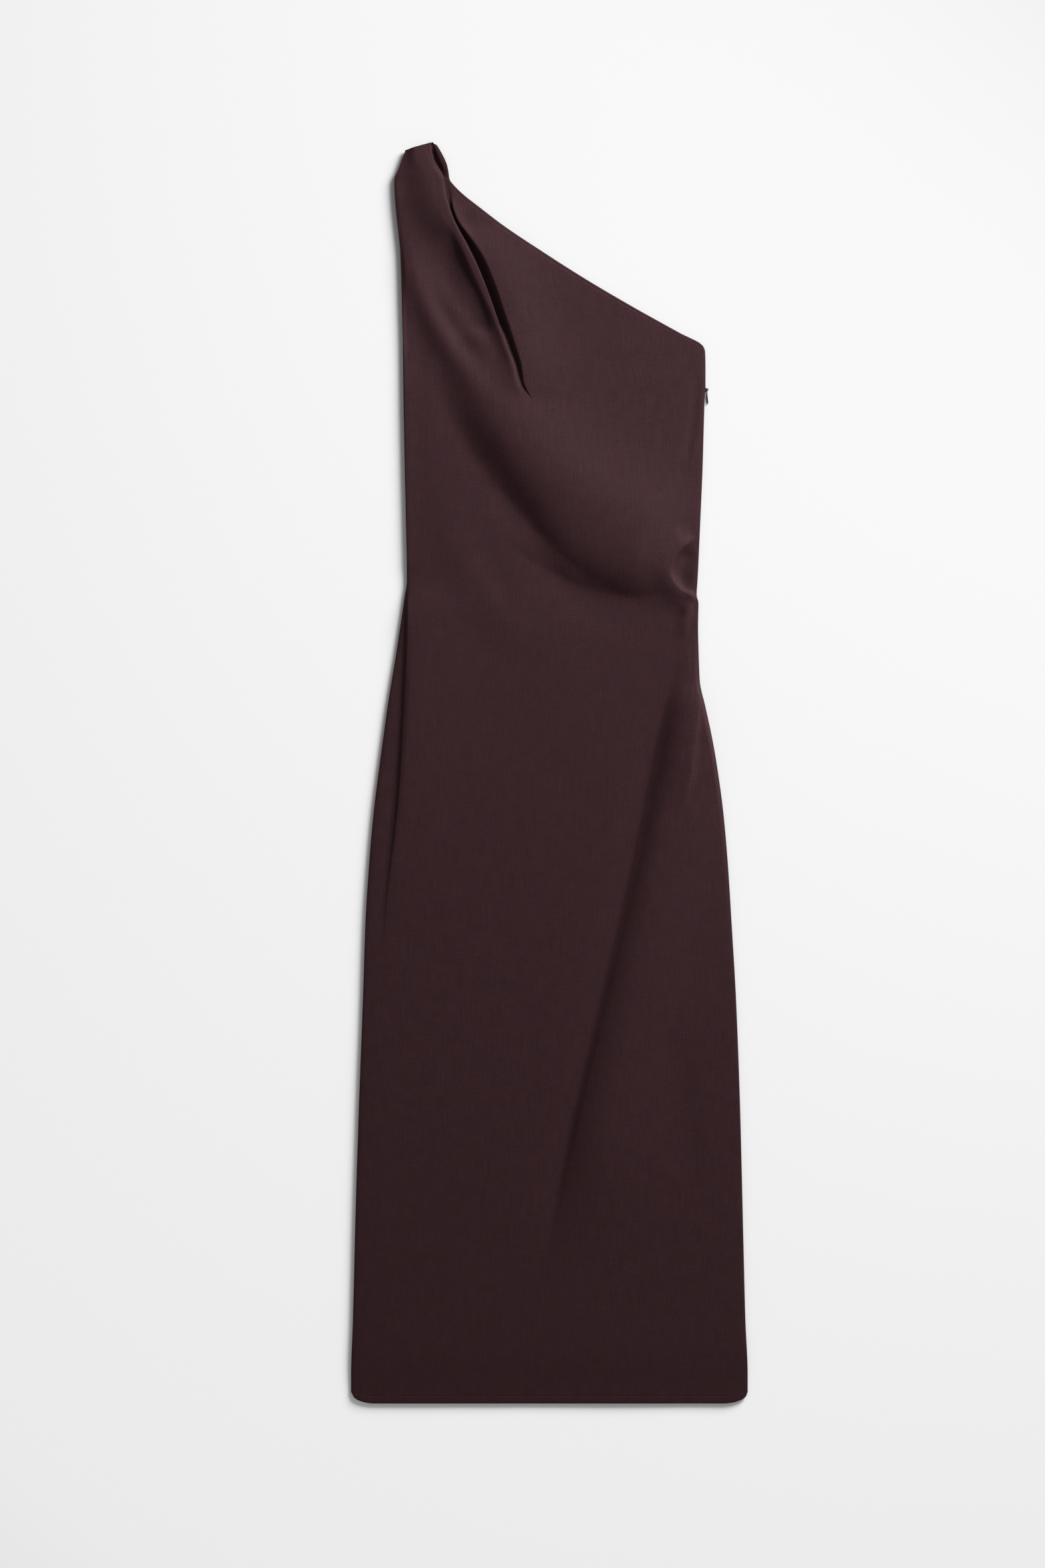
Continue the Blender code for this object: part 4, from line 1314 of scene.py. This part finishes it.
@dataclass
class FrontPanel:
    """The front of the dress with its strap, tucks and drape."""

    form: DressForm
    finish: ClothFinish
    parts: int = 4
    free_above: float = 436.0
    free_over: float = 8.0
    hem_radius: float = 0.45
    hem_turned: float = 3.0
    shoulder_radius: float = 1.4
    free_turn: float = 0.45
    edge_turned: float = 1.1
    loosens_over: float = 12.0
    loose_tightens: float = 0.3
    slit_opens: float = 0.25
    slit_opens_over: float = 8.0
    slit_closes_over: float = 6.0
    edge_columns: int = 8
    turn_rows: int = 5
    neck_reach: int = 8
    slow_ripple: float = 0.16
    slow_waves: tuple = (31.0, 73.0, 58.0, 47.0)
    bend_across: float = 1.3
    bend_down: float = 0.9
    quick_ripple: float = 0.05
    quick_waves: tuple = (13.0, 41.0, 23.0, 37.0)
    ripple_fades: float = 20.0
    flat_size: tuple = (0.43, 1.34)
    flat_area: float = 0.46

    def tuck_steps(self) -> np.ndarray:
        """Columns along the tuck's cloth: close together round its two turns."""
        steps = [0.0]
        for span in (OVER_LIP, UNDER_LIP, INNER_TURN, WAY_OUT):
            steps += list(np.linspace(span.start, span.start + span.length, span.columns + 1)[1:])
        return np.array(steps)

    def build(self) -> bpy.types.Object:
        """Make the front as a thin shell with rolled edges."""
        rows = row_heights(FRONT_ROWS)
        grid = self.form.front_surface(rows, self.tuck_steps(), self.parts)
        y = np.array(rows)
        grid[:, :, 2] += self.ripple(grid[:, :, 0], grid[:, :, 1])
        neck = ease((y - self.free_above) / self.free_over)[:, None]
        past_lip = grid[:, :, 0] > column(LIP, "x", y)[:, None] + self.form.tuck_turn
        edge_reach = np.where(past_lip, self.distance_to_edge(grid) + (1 - neck) * FAR, FAR)
        added_rows = (self.turn_rows, self.turn_rows + 1)
        added_columns = (self.edge_columns + 1, self.edge_columns + 1)
        edge_reach = np.pad(edge_reach, (added_rows, added_columns), constant_values=FAR)
        grid = self.turn_shoulder(self.turn_hem(self.roll_edges(grid, y)))
        hem_row = len(grid) - self.turn_rows - 2
        hem_reach = grid[:, :, 1] - grid[hem_row, :, 1]
        return ClothShell("front").build(grid, edge_reach, hem_reach)

    def distance_to_edge(self, grid: np.ndarray) -> np.ndarray:
        """Distance of each point from the neckline, along the cloth.

        Args:
            grid: The front's points.

        Returns:
            The distance at each point.
        """
        last = grid[:, -1, :2]
        away = np.full(grid.shape[:2], FAR)
        for shift in range(-self.neck_reach, self.neck_reach + 1):
            moved = np.roll(last, shift, axis=0)[:, None, :]
            away = np.minimum(away, np.linalg.norm(grid[:, :, :2] - moved, axis=2))
        return away

    def ripple(self, x: np.ndarray, y: np.ndarray) -> np.ndarray:
        """The slight unevenness of cloth that lies by its own weight."""
        across, across_bend, down, down_bend = self.slow_waves
        slow = np.sin(x / across + self.bend_across * np.sin(y / across_bend))
        slow = slow * np.sin(y / down + self.bend_down * np.sin(x / down_bend))
        across, across_turn, down, down_turn = self.quick_waves
        quick = np.sin(x / across + y / across_turn) * np.sin(y / down - x / down_turn)
        height = self.slow_ripple * slow + self.quick_ripple * quick
        return height * ease(self.form.inset(x, y) / self.ripple_fades)

    def roll_edges(self, grid: np.ndarray, y: np.ndarray) -> np.ndarray:
        """Turn both side edges under: round to the back along the seams, less where the edge is free.

        Args:
            grid: The front's points.
            y: The heights of the rows.

        Returns:
            The points with the turned edges added.
        """
        free = ease((y - self.free_above) / self.loosens_over)
        slit = ease((y - self.form.tape_bottom) / self.slit_opens_over)
        slit = slit * ease((self.form.tape_top + self.slit_closes_over - y) / self.slit_closes_over)
        turned = []
        for index, outward, open_share in ((0, -1.0, 0 * y), (-1, 1.0, slit)):
            loose = np.maximum(free, open_share)
            edge = grid[:, index]
            drop = (1 - loose) * (edge[:, 2] - self.form.turned_mid) / 2 + loose * self.free_turn
            reach = self.form.roll_radius * (1 - self.loose_tightens * loose)
            sweep = math.pi * (1 - self.slit_opens * open_share)
            strips = []
            for share in np.linspace(0, 1, self.edge_columns + 1)[1:]:
                point = edge.copy()
                point[:, 0] += outward * reach * np.sin(sweep * share)
                point[:, 2] -= drop * (1 - np.cos(sweep * share))
                strips.append(point)
            inner = strips[-1].copy()
            inner[:, 0] -= outward * self.edge_turned
            strips.append(inner)
            turned.append(np.stack(strips, axis=1))
        return np.concatenate([turned[0][:, ::-1], grid, turned[1]], axis=1)

    def turn_shoulder(self, grid: np.ndarray) -> np.ndarray:
        """Roll the strap's top down towards the shoulder seam."""
        strips = []
        for share in np.linspace(0, 1, self.turn_rows + 1)[1:]:
            row = grid[0].copy()
            row[:, 1] += self.shoulder_radius * math.sin(math.pi / 2 * share)
            row[:, 2] -= self.shoulder_radius * (1 - math.cos(math.pi / 2 * share))
            strips.insert(0, row)
        return np.concatenate([np.stack(strips, axis=0), grid], axis=0)

    def turn_hem(self, grid: np.ndarray) -> np.ndarray:
        """Turn the hem's edge under."""
        strips = []
        for share in np.linspace(0, 1, self.turn_rows + 1)[1:]:
            row = grid[-1].copy()
            row[:, 1] -= self.hem_radius * math.sin(math.pi * share)
            row[:, 2] -= self.hem_radius * (1 - math.cos(math.pi * share))
            strips.append(row)
        inner = strips[-1].copy()
        inner[:, 1] += self.hem_turned
        strips.append(inner)
        return np.concatenate([grid, np.stack(strips, axis=0)], axis=0)

    def dress(self, piece: bpy.types.Object) -> None:
        """Give the front its finish and body, and hide its imported node."""
        piece.data.materials.append(self.finish.build())
        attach(piece, Body.DRESS.value)
        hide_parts("front_panel")


@dataclass
class BackPanel:
    """The back of the dress: flat but for its soft creases, and curled up to the shoulder seam."""

    form: DressForm
    finish: ClothFinish
    thinned: int = 2
    columns: int = 40
    brim_columns: int = 8
    curl_below: float = 650.5
    fold_fades: float = 14.0
    flat_size: tuple = (0.42, 1.34)
    flat_area: float = 0.455

    def build(self) -> bpy.types.Object:
        """Make the back as a thin shell."""
        rows = [y for y in row_heights(FRONT_ROWS) if y < self.curl_below]
        kept = rows[:: self.thinned] + ([] if len(rows) % self.thinned else [rows[-1]])
        shares = np.linspace(0, 1, self.columns + 1)
        grid = self.form.back_surface(kept, shares, np.linspace(0, 1, self.brim_columns + 1))
        x, y = grid[:, :, 0], grid[:, :, 1]
        inside = np.clip(self.form.inset(x, y) - self.form.back_inset, 0, None)
        for fold in BACK_FOLDS:
            grid[:, :, 2] += fold_height(fold, x, y) * ease(inside / self.fold_fades)
        hem_reach = grid[:, :, 1] - grid[-1:, :, 1]
        edge_reach = np.full(grid.shape[:2], FAR)
        return ClothShell("back").build(grid, edge_reach, hem_reach)

    def dress(self, piece: bpy.types.Object) -> None:
        """Give the back its finish and body, and hide its imported node."""
        piece.data.materials.append(self.finish.build())
        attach(piece, Body.DRESS.value)
        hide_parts("back_panel")


@dataclass
class SideZip:
    """The fine zip in the side seam: ribbon, coil, slider and drop-shaped pull."""

    form: DressForm
    tape_finish: TapeFinish
    metal_finish: EnamelFinish
    ribbon_low: float = 0.1
    ribbon_thickness: float = 0.9
    ribbon_cord: float = 0.45
    cord_from: float = 0.45
    tooth_pitch: float = 1.5
    tooth_radius: float = 0.28
    tooth_length: float = 1.0
    tooth_inset: float = 1.1
    tooth_lift: float = 0.42
    coil_start: float = 6.0
    coil_shorter: float = 16.0
    slider_place: tuple = (165.3, 402.0)
    slider_low: float = 0.25
    slider_thickness: float = 0.9
    slider_length: float = 7.6
    slider_inset: float = 2.6
    slider_bevel: float = 0.16
    nose_thins: float = 0.94
    bail_radius: float = 1.22
    bail_z: float = 1.5
    collar_radius: float = 0.98
    collar_wire: float = 0.2
    collar_lift: float = 0.72
    root_radius: float = 0.36
    root_length: float = 0.4
    root_end: float = 1.95
    link_radius: float = 1.5
    link_wire: float = 0.17
    pull_mid: float = 0.98
    pull_lean: float = 3.6

    def ribbon(self) -> bpy.types.Object:
        """The woven ribbon with a raised cord along its outer edge."""
        form = self.form
        clear_selection()
        bpy.ops.mesh.primitive_grid_add(x_subdivisions=8, y_subdivisions=60, size=1)
        piece = bpy.context.object
        piece.name = "zip_ribbon"
        piece.dimensions = (form.tape_width * MM, form.tape_length * MM, 0)
        settle(piece)
        work = bmesh.new()
        work.from_mesh(piece.data)
        for vert in work.verts:
            outer = max(0.0, vert.co.x / (form.tape_width * MM / 2) - self.cord_from)
            share = min(1.0, outer / (1 - self.cord_from))
            vert.co.z = self.ribbon_cord * MM * math.sin(share * math.pi)
        work.to_mesh(piece.data)
        work.free()
        wall = piece.modifiers.new("wall", "SOLIDIFY")
        wall.thickness = self.ribbon_thickness * MM
        wall.offset = 1.0
        apply_modifiers(piece)
        self.stand(piece, self.ribbon_low)
        piece.data.shade_smooth()
        return piece

    def coil(self) -> bpy.types.Object:
        """The zip's coil: one small bent tooth, repeated along the ribbon."""
        form = self.form
        clear_selection()
        bpy.ops.mesh.primitive_cylinder_add(
            vertices=6,
            radius=self.tooth_radius * MM,
            depth=self.tooth_length * MM,
            rotation=(0, math.pi / 2, 0),
        )
        piece = bpy.context.object
        piece.name = "zip_coil"
        settle(piece)
        bpy.ops.object.mode_set(mode="EDIT")
        bpy.ops.mesh.select_mode(type="FACE")
        bpy.ops.mesh.select_all(action="DESELECT")
        bpy.ops.object.mode_set(mode="OBJECT")
        for face in piece.data.polygons:
            face.select = face.normal.x > 0.9
        bpy.ops.object.mode_set(mode="EDIT")
        for bend in TOOTH_BENDS:
            step = (bend.reach * MM, bend.shift * MM, -bend.drop * MM)
            bpy.ops.mesh.extrude_region_move(TRANSFORM_OT_translate={"value": step})
            bpy.ops.transform.resize(value=(bend.size, bend.size, bend.size))
        bpy.ops.object.mode_set(mode="OBJECT")
        row = piece.modifiers.new("row", "ARRAY")
        row.use_relative_offset = False
        row.use_constant_offset = True
        row.constant_offset_displace = (0, self.tooth_pitch * MM, 0)
        row.count = int((form.tape_length - self.coil_shorter) / self.tooth_pitch)
        apply_modifiers(piece)
        piece.location.x = (form.tape_width / 2 - self.tooth_inset) * MM
        piece.location.y = (self.coil_start - form.tape_length / 2) * MM
        settle(piece)
        self.stand(piece, self.ribbon_low + self.ribbon_thickness + self.tooth_lift)
        piece.data.shade_smooth()
        return piece

    def stand(self, piece: bpy.types.Object, low: float) -> None:
        """Lay a piece that was made along Y at the origin onto the slanting line of the zip.

        Args:
            piece: The piece.
            low: The height at which its own zero comes to lie.
        """
        form = self.form
        slant = math.atan2(form.tape_top_x - form.tape_bottom_x, form.tape_top - form.tape_bottom)
        middle_x = (form.tape_top_x + form.tape_bottom_x) / 2 - form.tape_width / 2
        piece.rotation_euler = (0, 0, -slant)
        piece.location = (middle_x * MM, (form.tape_top + form.tape_bottom) / 2 * MM, low * MM)
        settle(piece)

    def slider(self) -> bpy.types.Object:
        """The slider's body: a bevelled plate whose shoulders run in to a narrow nose."""
        x, y = self.slider_place
        edge = float(self.form.right_edge(np.array([y]))[0])
        near = edge - self.slider_inset
        middle_z = self.slider_low + self.slider_thickness / 2
        clear_selection()
        bpy.ops.mesh.primitive_cube_add(
            size=1,
            location=((near + edge) / 2 * MM, y * MM, middle_z * MM),
            scale=((edge - near) * MM, self.slider_length * MM, self.slider_thickness * MM),
        )
        piece = bpy.context.object
        piece.name = "slider_body"
        settle(piece)
        for face in piece.data.polygons:
            face.select = face.normal.x > 0.9
        bpy.ops.object.mode_set(mode="EDIT")
        bpy.ops.mesh.select_mode(type="FACE")
        for step in SLIDER_NOSE:
            bpy.ops.mesh.extrude_region_move(TRANSFORM_OT_translate={"value": (step.reach * MM, 0, 0)})
            bpy.ops.transform.resize(value=(1, step.width_share, self.nose_thins))
        bpy.ops.mesh.select_all(action="SELECT")
        bpy.ops.mesh.bevel(offset=self.slider_bevel * MM, segments=2, affect="EDGES")
        bpy.ops.object.mode_set(mode="OBJECT")
        piece.data.shade_smooth()
        return piece

    def bail(self) -> bpy.types.Object:
        """The round bail: a ball with a turned waist and a fine collar."""
        x, y = self.slider_place
        place = Vector((x, y, self.bail_z)) * MM
        clear_selection()
        bpy.ops.mesh.primitive_uv_sphere_add(
            segments=28, ring_count=18, radius=self.bail_radius * MM, location=place
        )
        ball = bpy.context.object
        ball.name = "slider_bail"
        ball.data.shade_smooth()
        clear_selection()
        bpy.ops.mesh.primitive_torus_add(
            major_segments=28,
            minor_segments=8,
            major_radius=self.collar_radius * MM,
            minor_radius=self.collar_wire * MM,
            location=place + Vector((0, 0, self.collar_lift * MM)),
        )
        collar = bpy.context.object
        collar.data.shade_smooth()
        ball.select_set(True)
        bpy.context.view_layer.objects.active = ball
        bpy.ops.object.join()
        settle(ball)
        return ball

    def pull(self) -> bpy.types.Object:
        """The slim drop-shaped pull: a rounded bar drawn out station by station, with a slight bow."""
        x, y = self.slider_place
        clear_selection()
        bpy.ops.mesh.primitive_cylinder_add(
            vertices=12,
            radius=self.root_radius * MM,
            depth=self.root_length * MM,
            rotation=(math.pi / 2, 0, 0),
            location=(0, -(self.root_end - self.root_length / 2) * MM, 0),
        )
        piece = bpy.context.object
        piece.name = "pull_tab"
        settle(piece)
        for face in piece.data.polygons:
            face.select = face.normal.y < -0.9
        bpy.ops.object.mode_set(mode="EDIT")
        bpy.ops.mesh.select_mode(type="FACE")
        width = self.root_radius
        along = self.root_end
        for reach, half, bow in PULL_STATIONS:
            step = (bow * MM, -(reach - along) * MM, 0)
            bpy.ops.mesh.extrude_region_move(TRANSFORM_OT_translate={"value": step})
            bpy.ops.transform.resize(value=(half / width, 1, 1))
            width, along = half, reach
        bpy.ops.mesh.select_all(action="SELECT")
        bpy.ops.mesh.normals_make_consistent(inside=False)
        bpy.ops.object.mode_set(mode="OBJECT")
        clear_selection()
        bpy.ops.mesh.primitive_torus_add(
            major_segments=24,
            minor_segments=8,
            major_radius=self.link_radius * MM,
            minor_radius=self.link_wire * MM,
            location=(0, 0, 0),
        )
        link = bpy.context.object
        only(piece)
        link.select_set(True)
        bpy.ops.object.join()
        piece.rotation_euler = (0, 0, math.radians(self.pull_lean))
        piece.location = (x * MM, y * MM, self.pull_mid * MM)
        settle(piece)
        piece.data.shade_smooth()
        return piece

    def dress(
        self, piece: bpy.types.Object, body: Body, node: str, slot: Slot, finish: bpy.types.Material
    ) -> None:
        """Give a piece of the zip its finish and body, and hide its imported node."""
        piece.data.materials.clear()
        piece.data.materials.append(finish)
        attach(piece, body.value)
        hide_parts(node)
        log.info("%s: %d faces", piece.name, len(piece.data.polygons))

    def assemble(self) -> None:
        """Build and dress every piece of the zip."""
        tape = self.tape_finish.build()
        metal = self.metal_finish.build()
        self.dress(self.ribbon(), Body.DRESS, "zip_tape", Slot.TAPE, tape)
        self.dress(self.coil(), Body.DRESS, "zip_tape", Slot.TAPE, tape)
        self.dress(self.slider(), Body.DRESS, "zip_slider", Slot.METAL, metal)
        self.dress(self.bail(), Body.DRESS, "zip_slider", Slot.METAL, metal)
        self.dress(self.pull(), Body.PULL, "zip_pull", Slot.METAL, metal)


@dataclass
class Studio:
    """The pale surface with painted shade towards the key light, the soft light and the camera straight
    above.
    """

    camera_height: float = 3.2
    sensor_width: float = 36.0
    frame_height: float = 1.6464
    frame_centre: tuple = (-0.02835, -0.01190)
    floor_size: float = 9.0
    floor_roughness: float = 0.9
    floor_specular: float = 0.1
    # Painted shade on the floor: darkest at the foot of the key light, fading to the plain pale colour
    # between these distances from it, to even out the lamp's pool of light
    floor_shade_fade_from: float = 1.4
    floor_shade_fade_to: float = 3.3
    floor_painted_shade_near_key: tuple = (0.25, 0.25, 0.25)
    floor_far: tuple = (0.975, 0.975, 0.975)
    key_place: tuple = (1.5, 1.85, 1.03)
    key_size: tuple = (1.35, 1.1)
    key_power: float = 191.0
    dome: float = 0.38

    def build(self) -> None:
        """Make the floor, the lights and the camera."""
        self._floor()
        self._world()
        self._key()
        self._camera()

    def _floor(self) -> None:
        """A smooth pale surface, far larger than the view, with shade painted on it near the foot of the
        key light.
        """
        clear_selection()
        bpy.ops.mesh.primitive_plane_add(size=self.floor_size, location=(0, 0, 0))
        floor = bpy.context.object
        floor.name = "floor"
        material, kit, shader = new_material("pale_surface_painted_shade")
        place = kit.add("ShaderNodeTexCoord").outputs["Object"]
        reach = kit.add("ShaderNodeVectorMath", operation="DISTANCE")
        kit.fill(reach, {0: place, 1: (*self.key_place[:2], 0)})
        # Painted shade: the floor's colour is darkest at the foot of the key light and lightens away from
        # it
        run = kit.spread(reach.outputs["Value"], self.floor_shade_fade_from, self.floor_shade_fade_to, kind="LINEAR")
        kit.fill(shader, {
            "Base Color": kit.blend(run, (*self.floor_painted_shade_near_key, 1), (*self.floor_far, 1)),
            "Roughness": self.floor_roughness,
            "Specular IOR Level": self.floor_specular,
        })
        floor.data.materials.append(material)

    def _world(self) -> None:
        """Even white light from all round."""
        world = bpy.data.worlds.new("studio")
        world.use_nodes = True
        sky = world.node_tree.nodes["Background"]
        NodeKit(world.node_tree).fill(sky, {"Color": (1, 1, 1, 1), "Strength": self.dome})
        bpy.context.scene.world = world
        bpy.context.scene.view_settings.view_transform = "Standard"

    def _key(self) -> None:
        """A large soft light from the upper right."""
        lamp = bpy.data.lights.new("key", "AREA")
        lamp.shape = "RECTANGLE"
        lamp.size, lamp.size_y = self.key_size
        lamp.energy = self.key_power
        key = bpy.data.objects.new("key", lamp)
        bpy.context.scene.collection.objects.link(key)
        key.location = self.key_place
        aim = Vector((0, 0, 0)) - Vector(key.location)
        key.rotation_euler = aim.to_track_quat("-Z", "Y").to_euler()

    def _camera(self) -> None:
        """A camera straight above the dress, with the photograph's frame."""
        data = bpy.data.cameras.new("camera")
        data.sensor_width = self.sensor_width
        data.lens = data.sensor_width * self.camera_height / self.frame_height
        camera = bpy.data.objects.new("camera", data)
        camera.location = (*self.frame_centre, self.camera_height)
        bpy.context.scene.collection.objects.link(camera)
        bpy.context.scene.camera = camera


def main() -> None:
    """Build the dress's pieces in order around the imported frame."""
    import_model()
    Studio().build()
    form = DressForm()
    front_finish = ClothFinish("front_weave", (0.0380, 0.0156, 0.0176), (0.0137, 0.0055, 0.0062))
    # Painted shade: the back is the front's cloth made about 8 percent darker, for where it lies under
    # the front and shows in the strap's loop
    back_finish_painted_shade = ClothFinish("back_weave_painted_shade", (0.0350, 0.0143, 0.0161), (0.0125, 0.0050, 0.0057))
    for part in (FrontPanel(form, front_finish), BackPanel(form, back_finish_painted_shade)):
        piece = part.build()
        part.dress(piece)
        log.info("%s: %d faces", piece.name, len(piece.data.polygons))
    tape_finish = TapeFinish("tape_weave", (0.032, 0.015, 0.018))
    metal_finish = EnamelFinish("dark_enamel", (0.028, 0.018, 0.02), (0.12, 0.09, 0.09))
    SideZip(form, tape_finish, metal_finish).assemble()


if __name__ == "__main__":
    main()
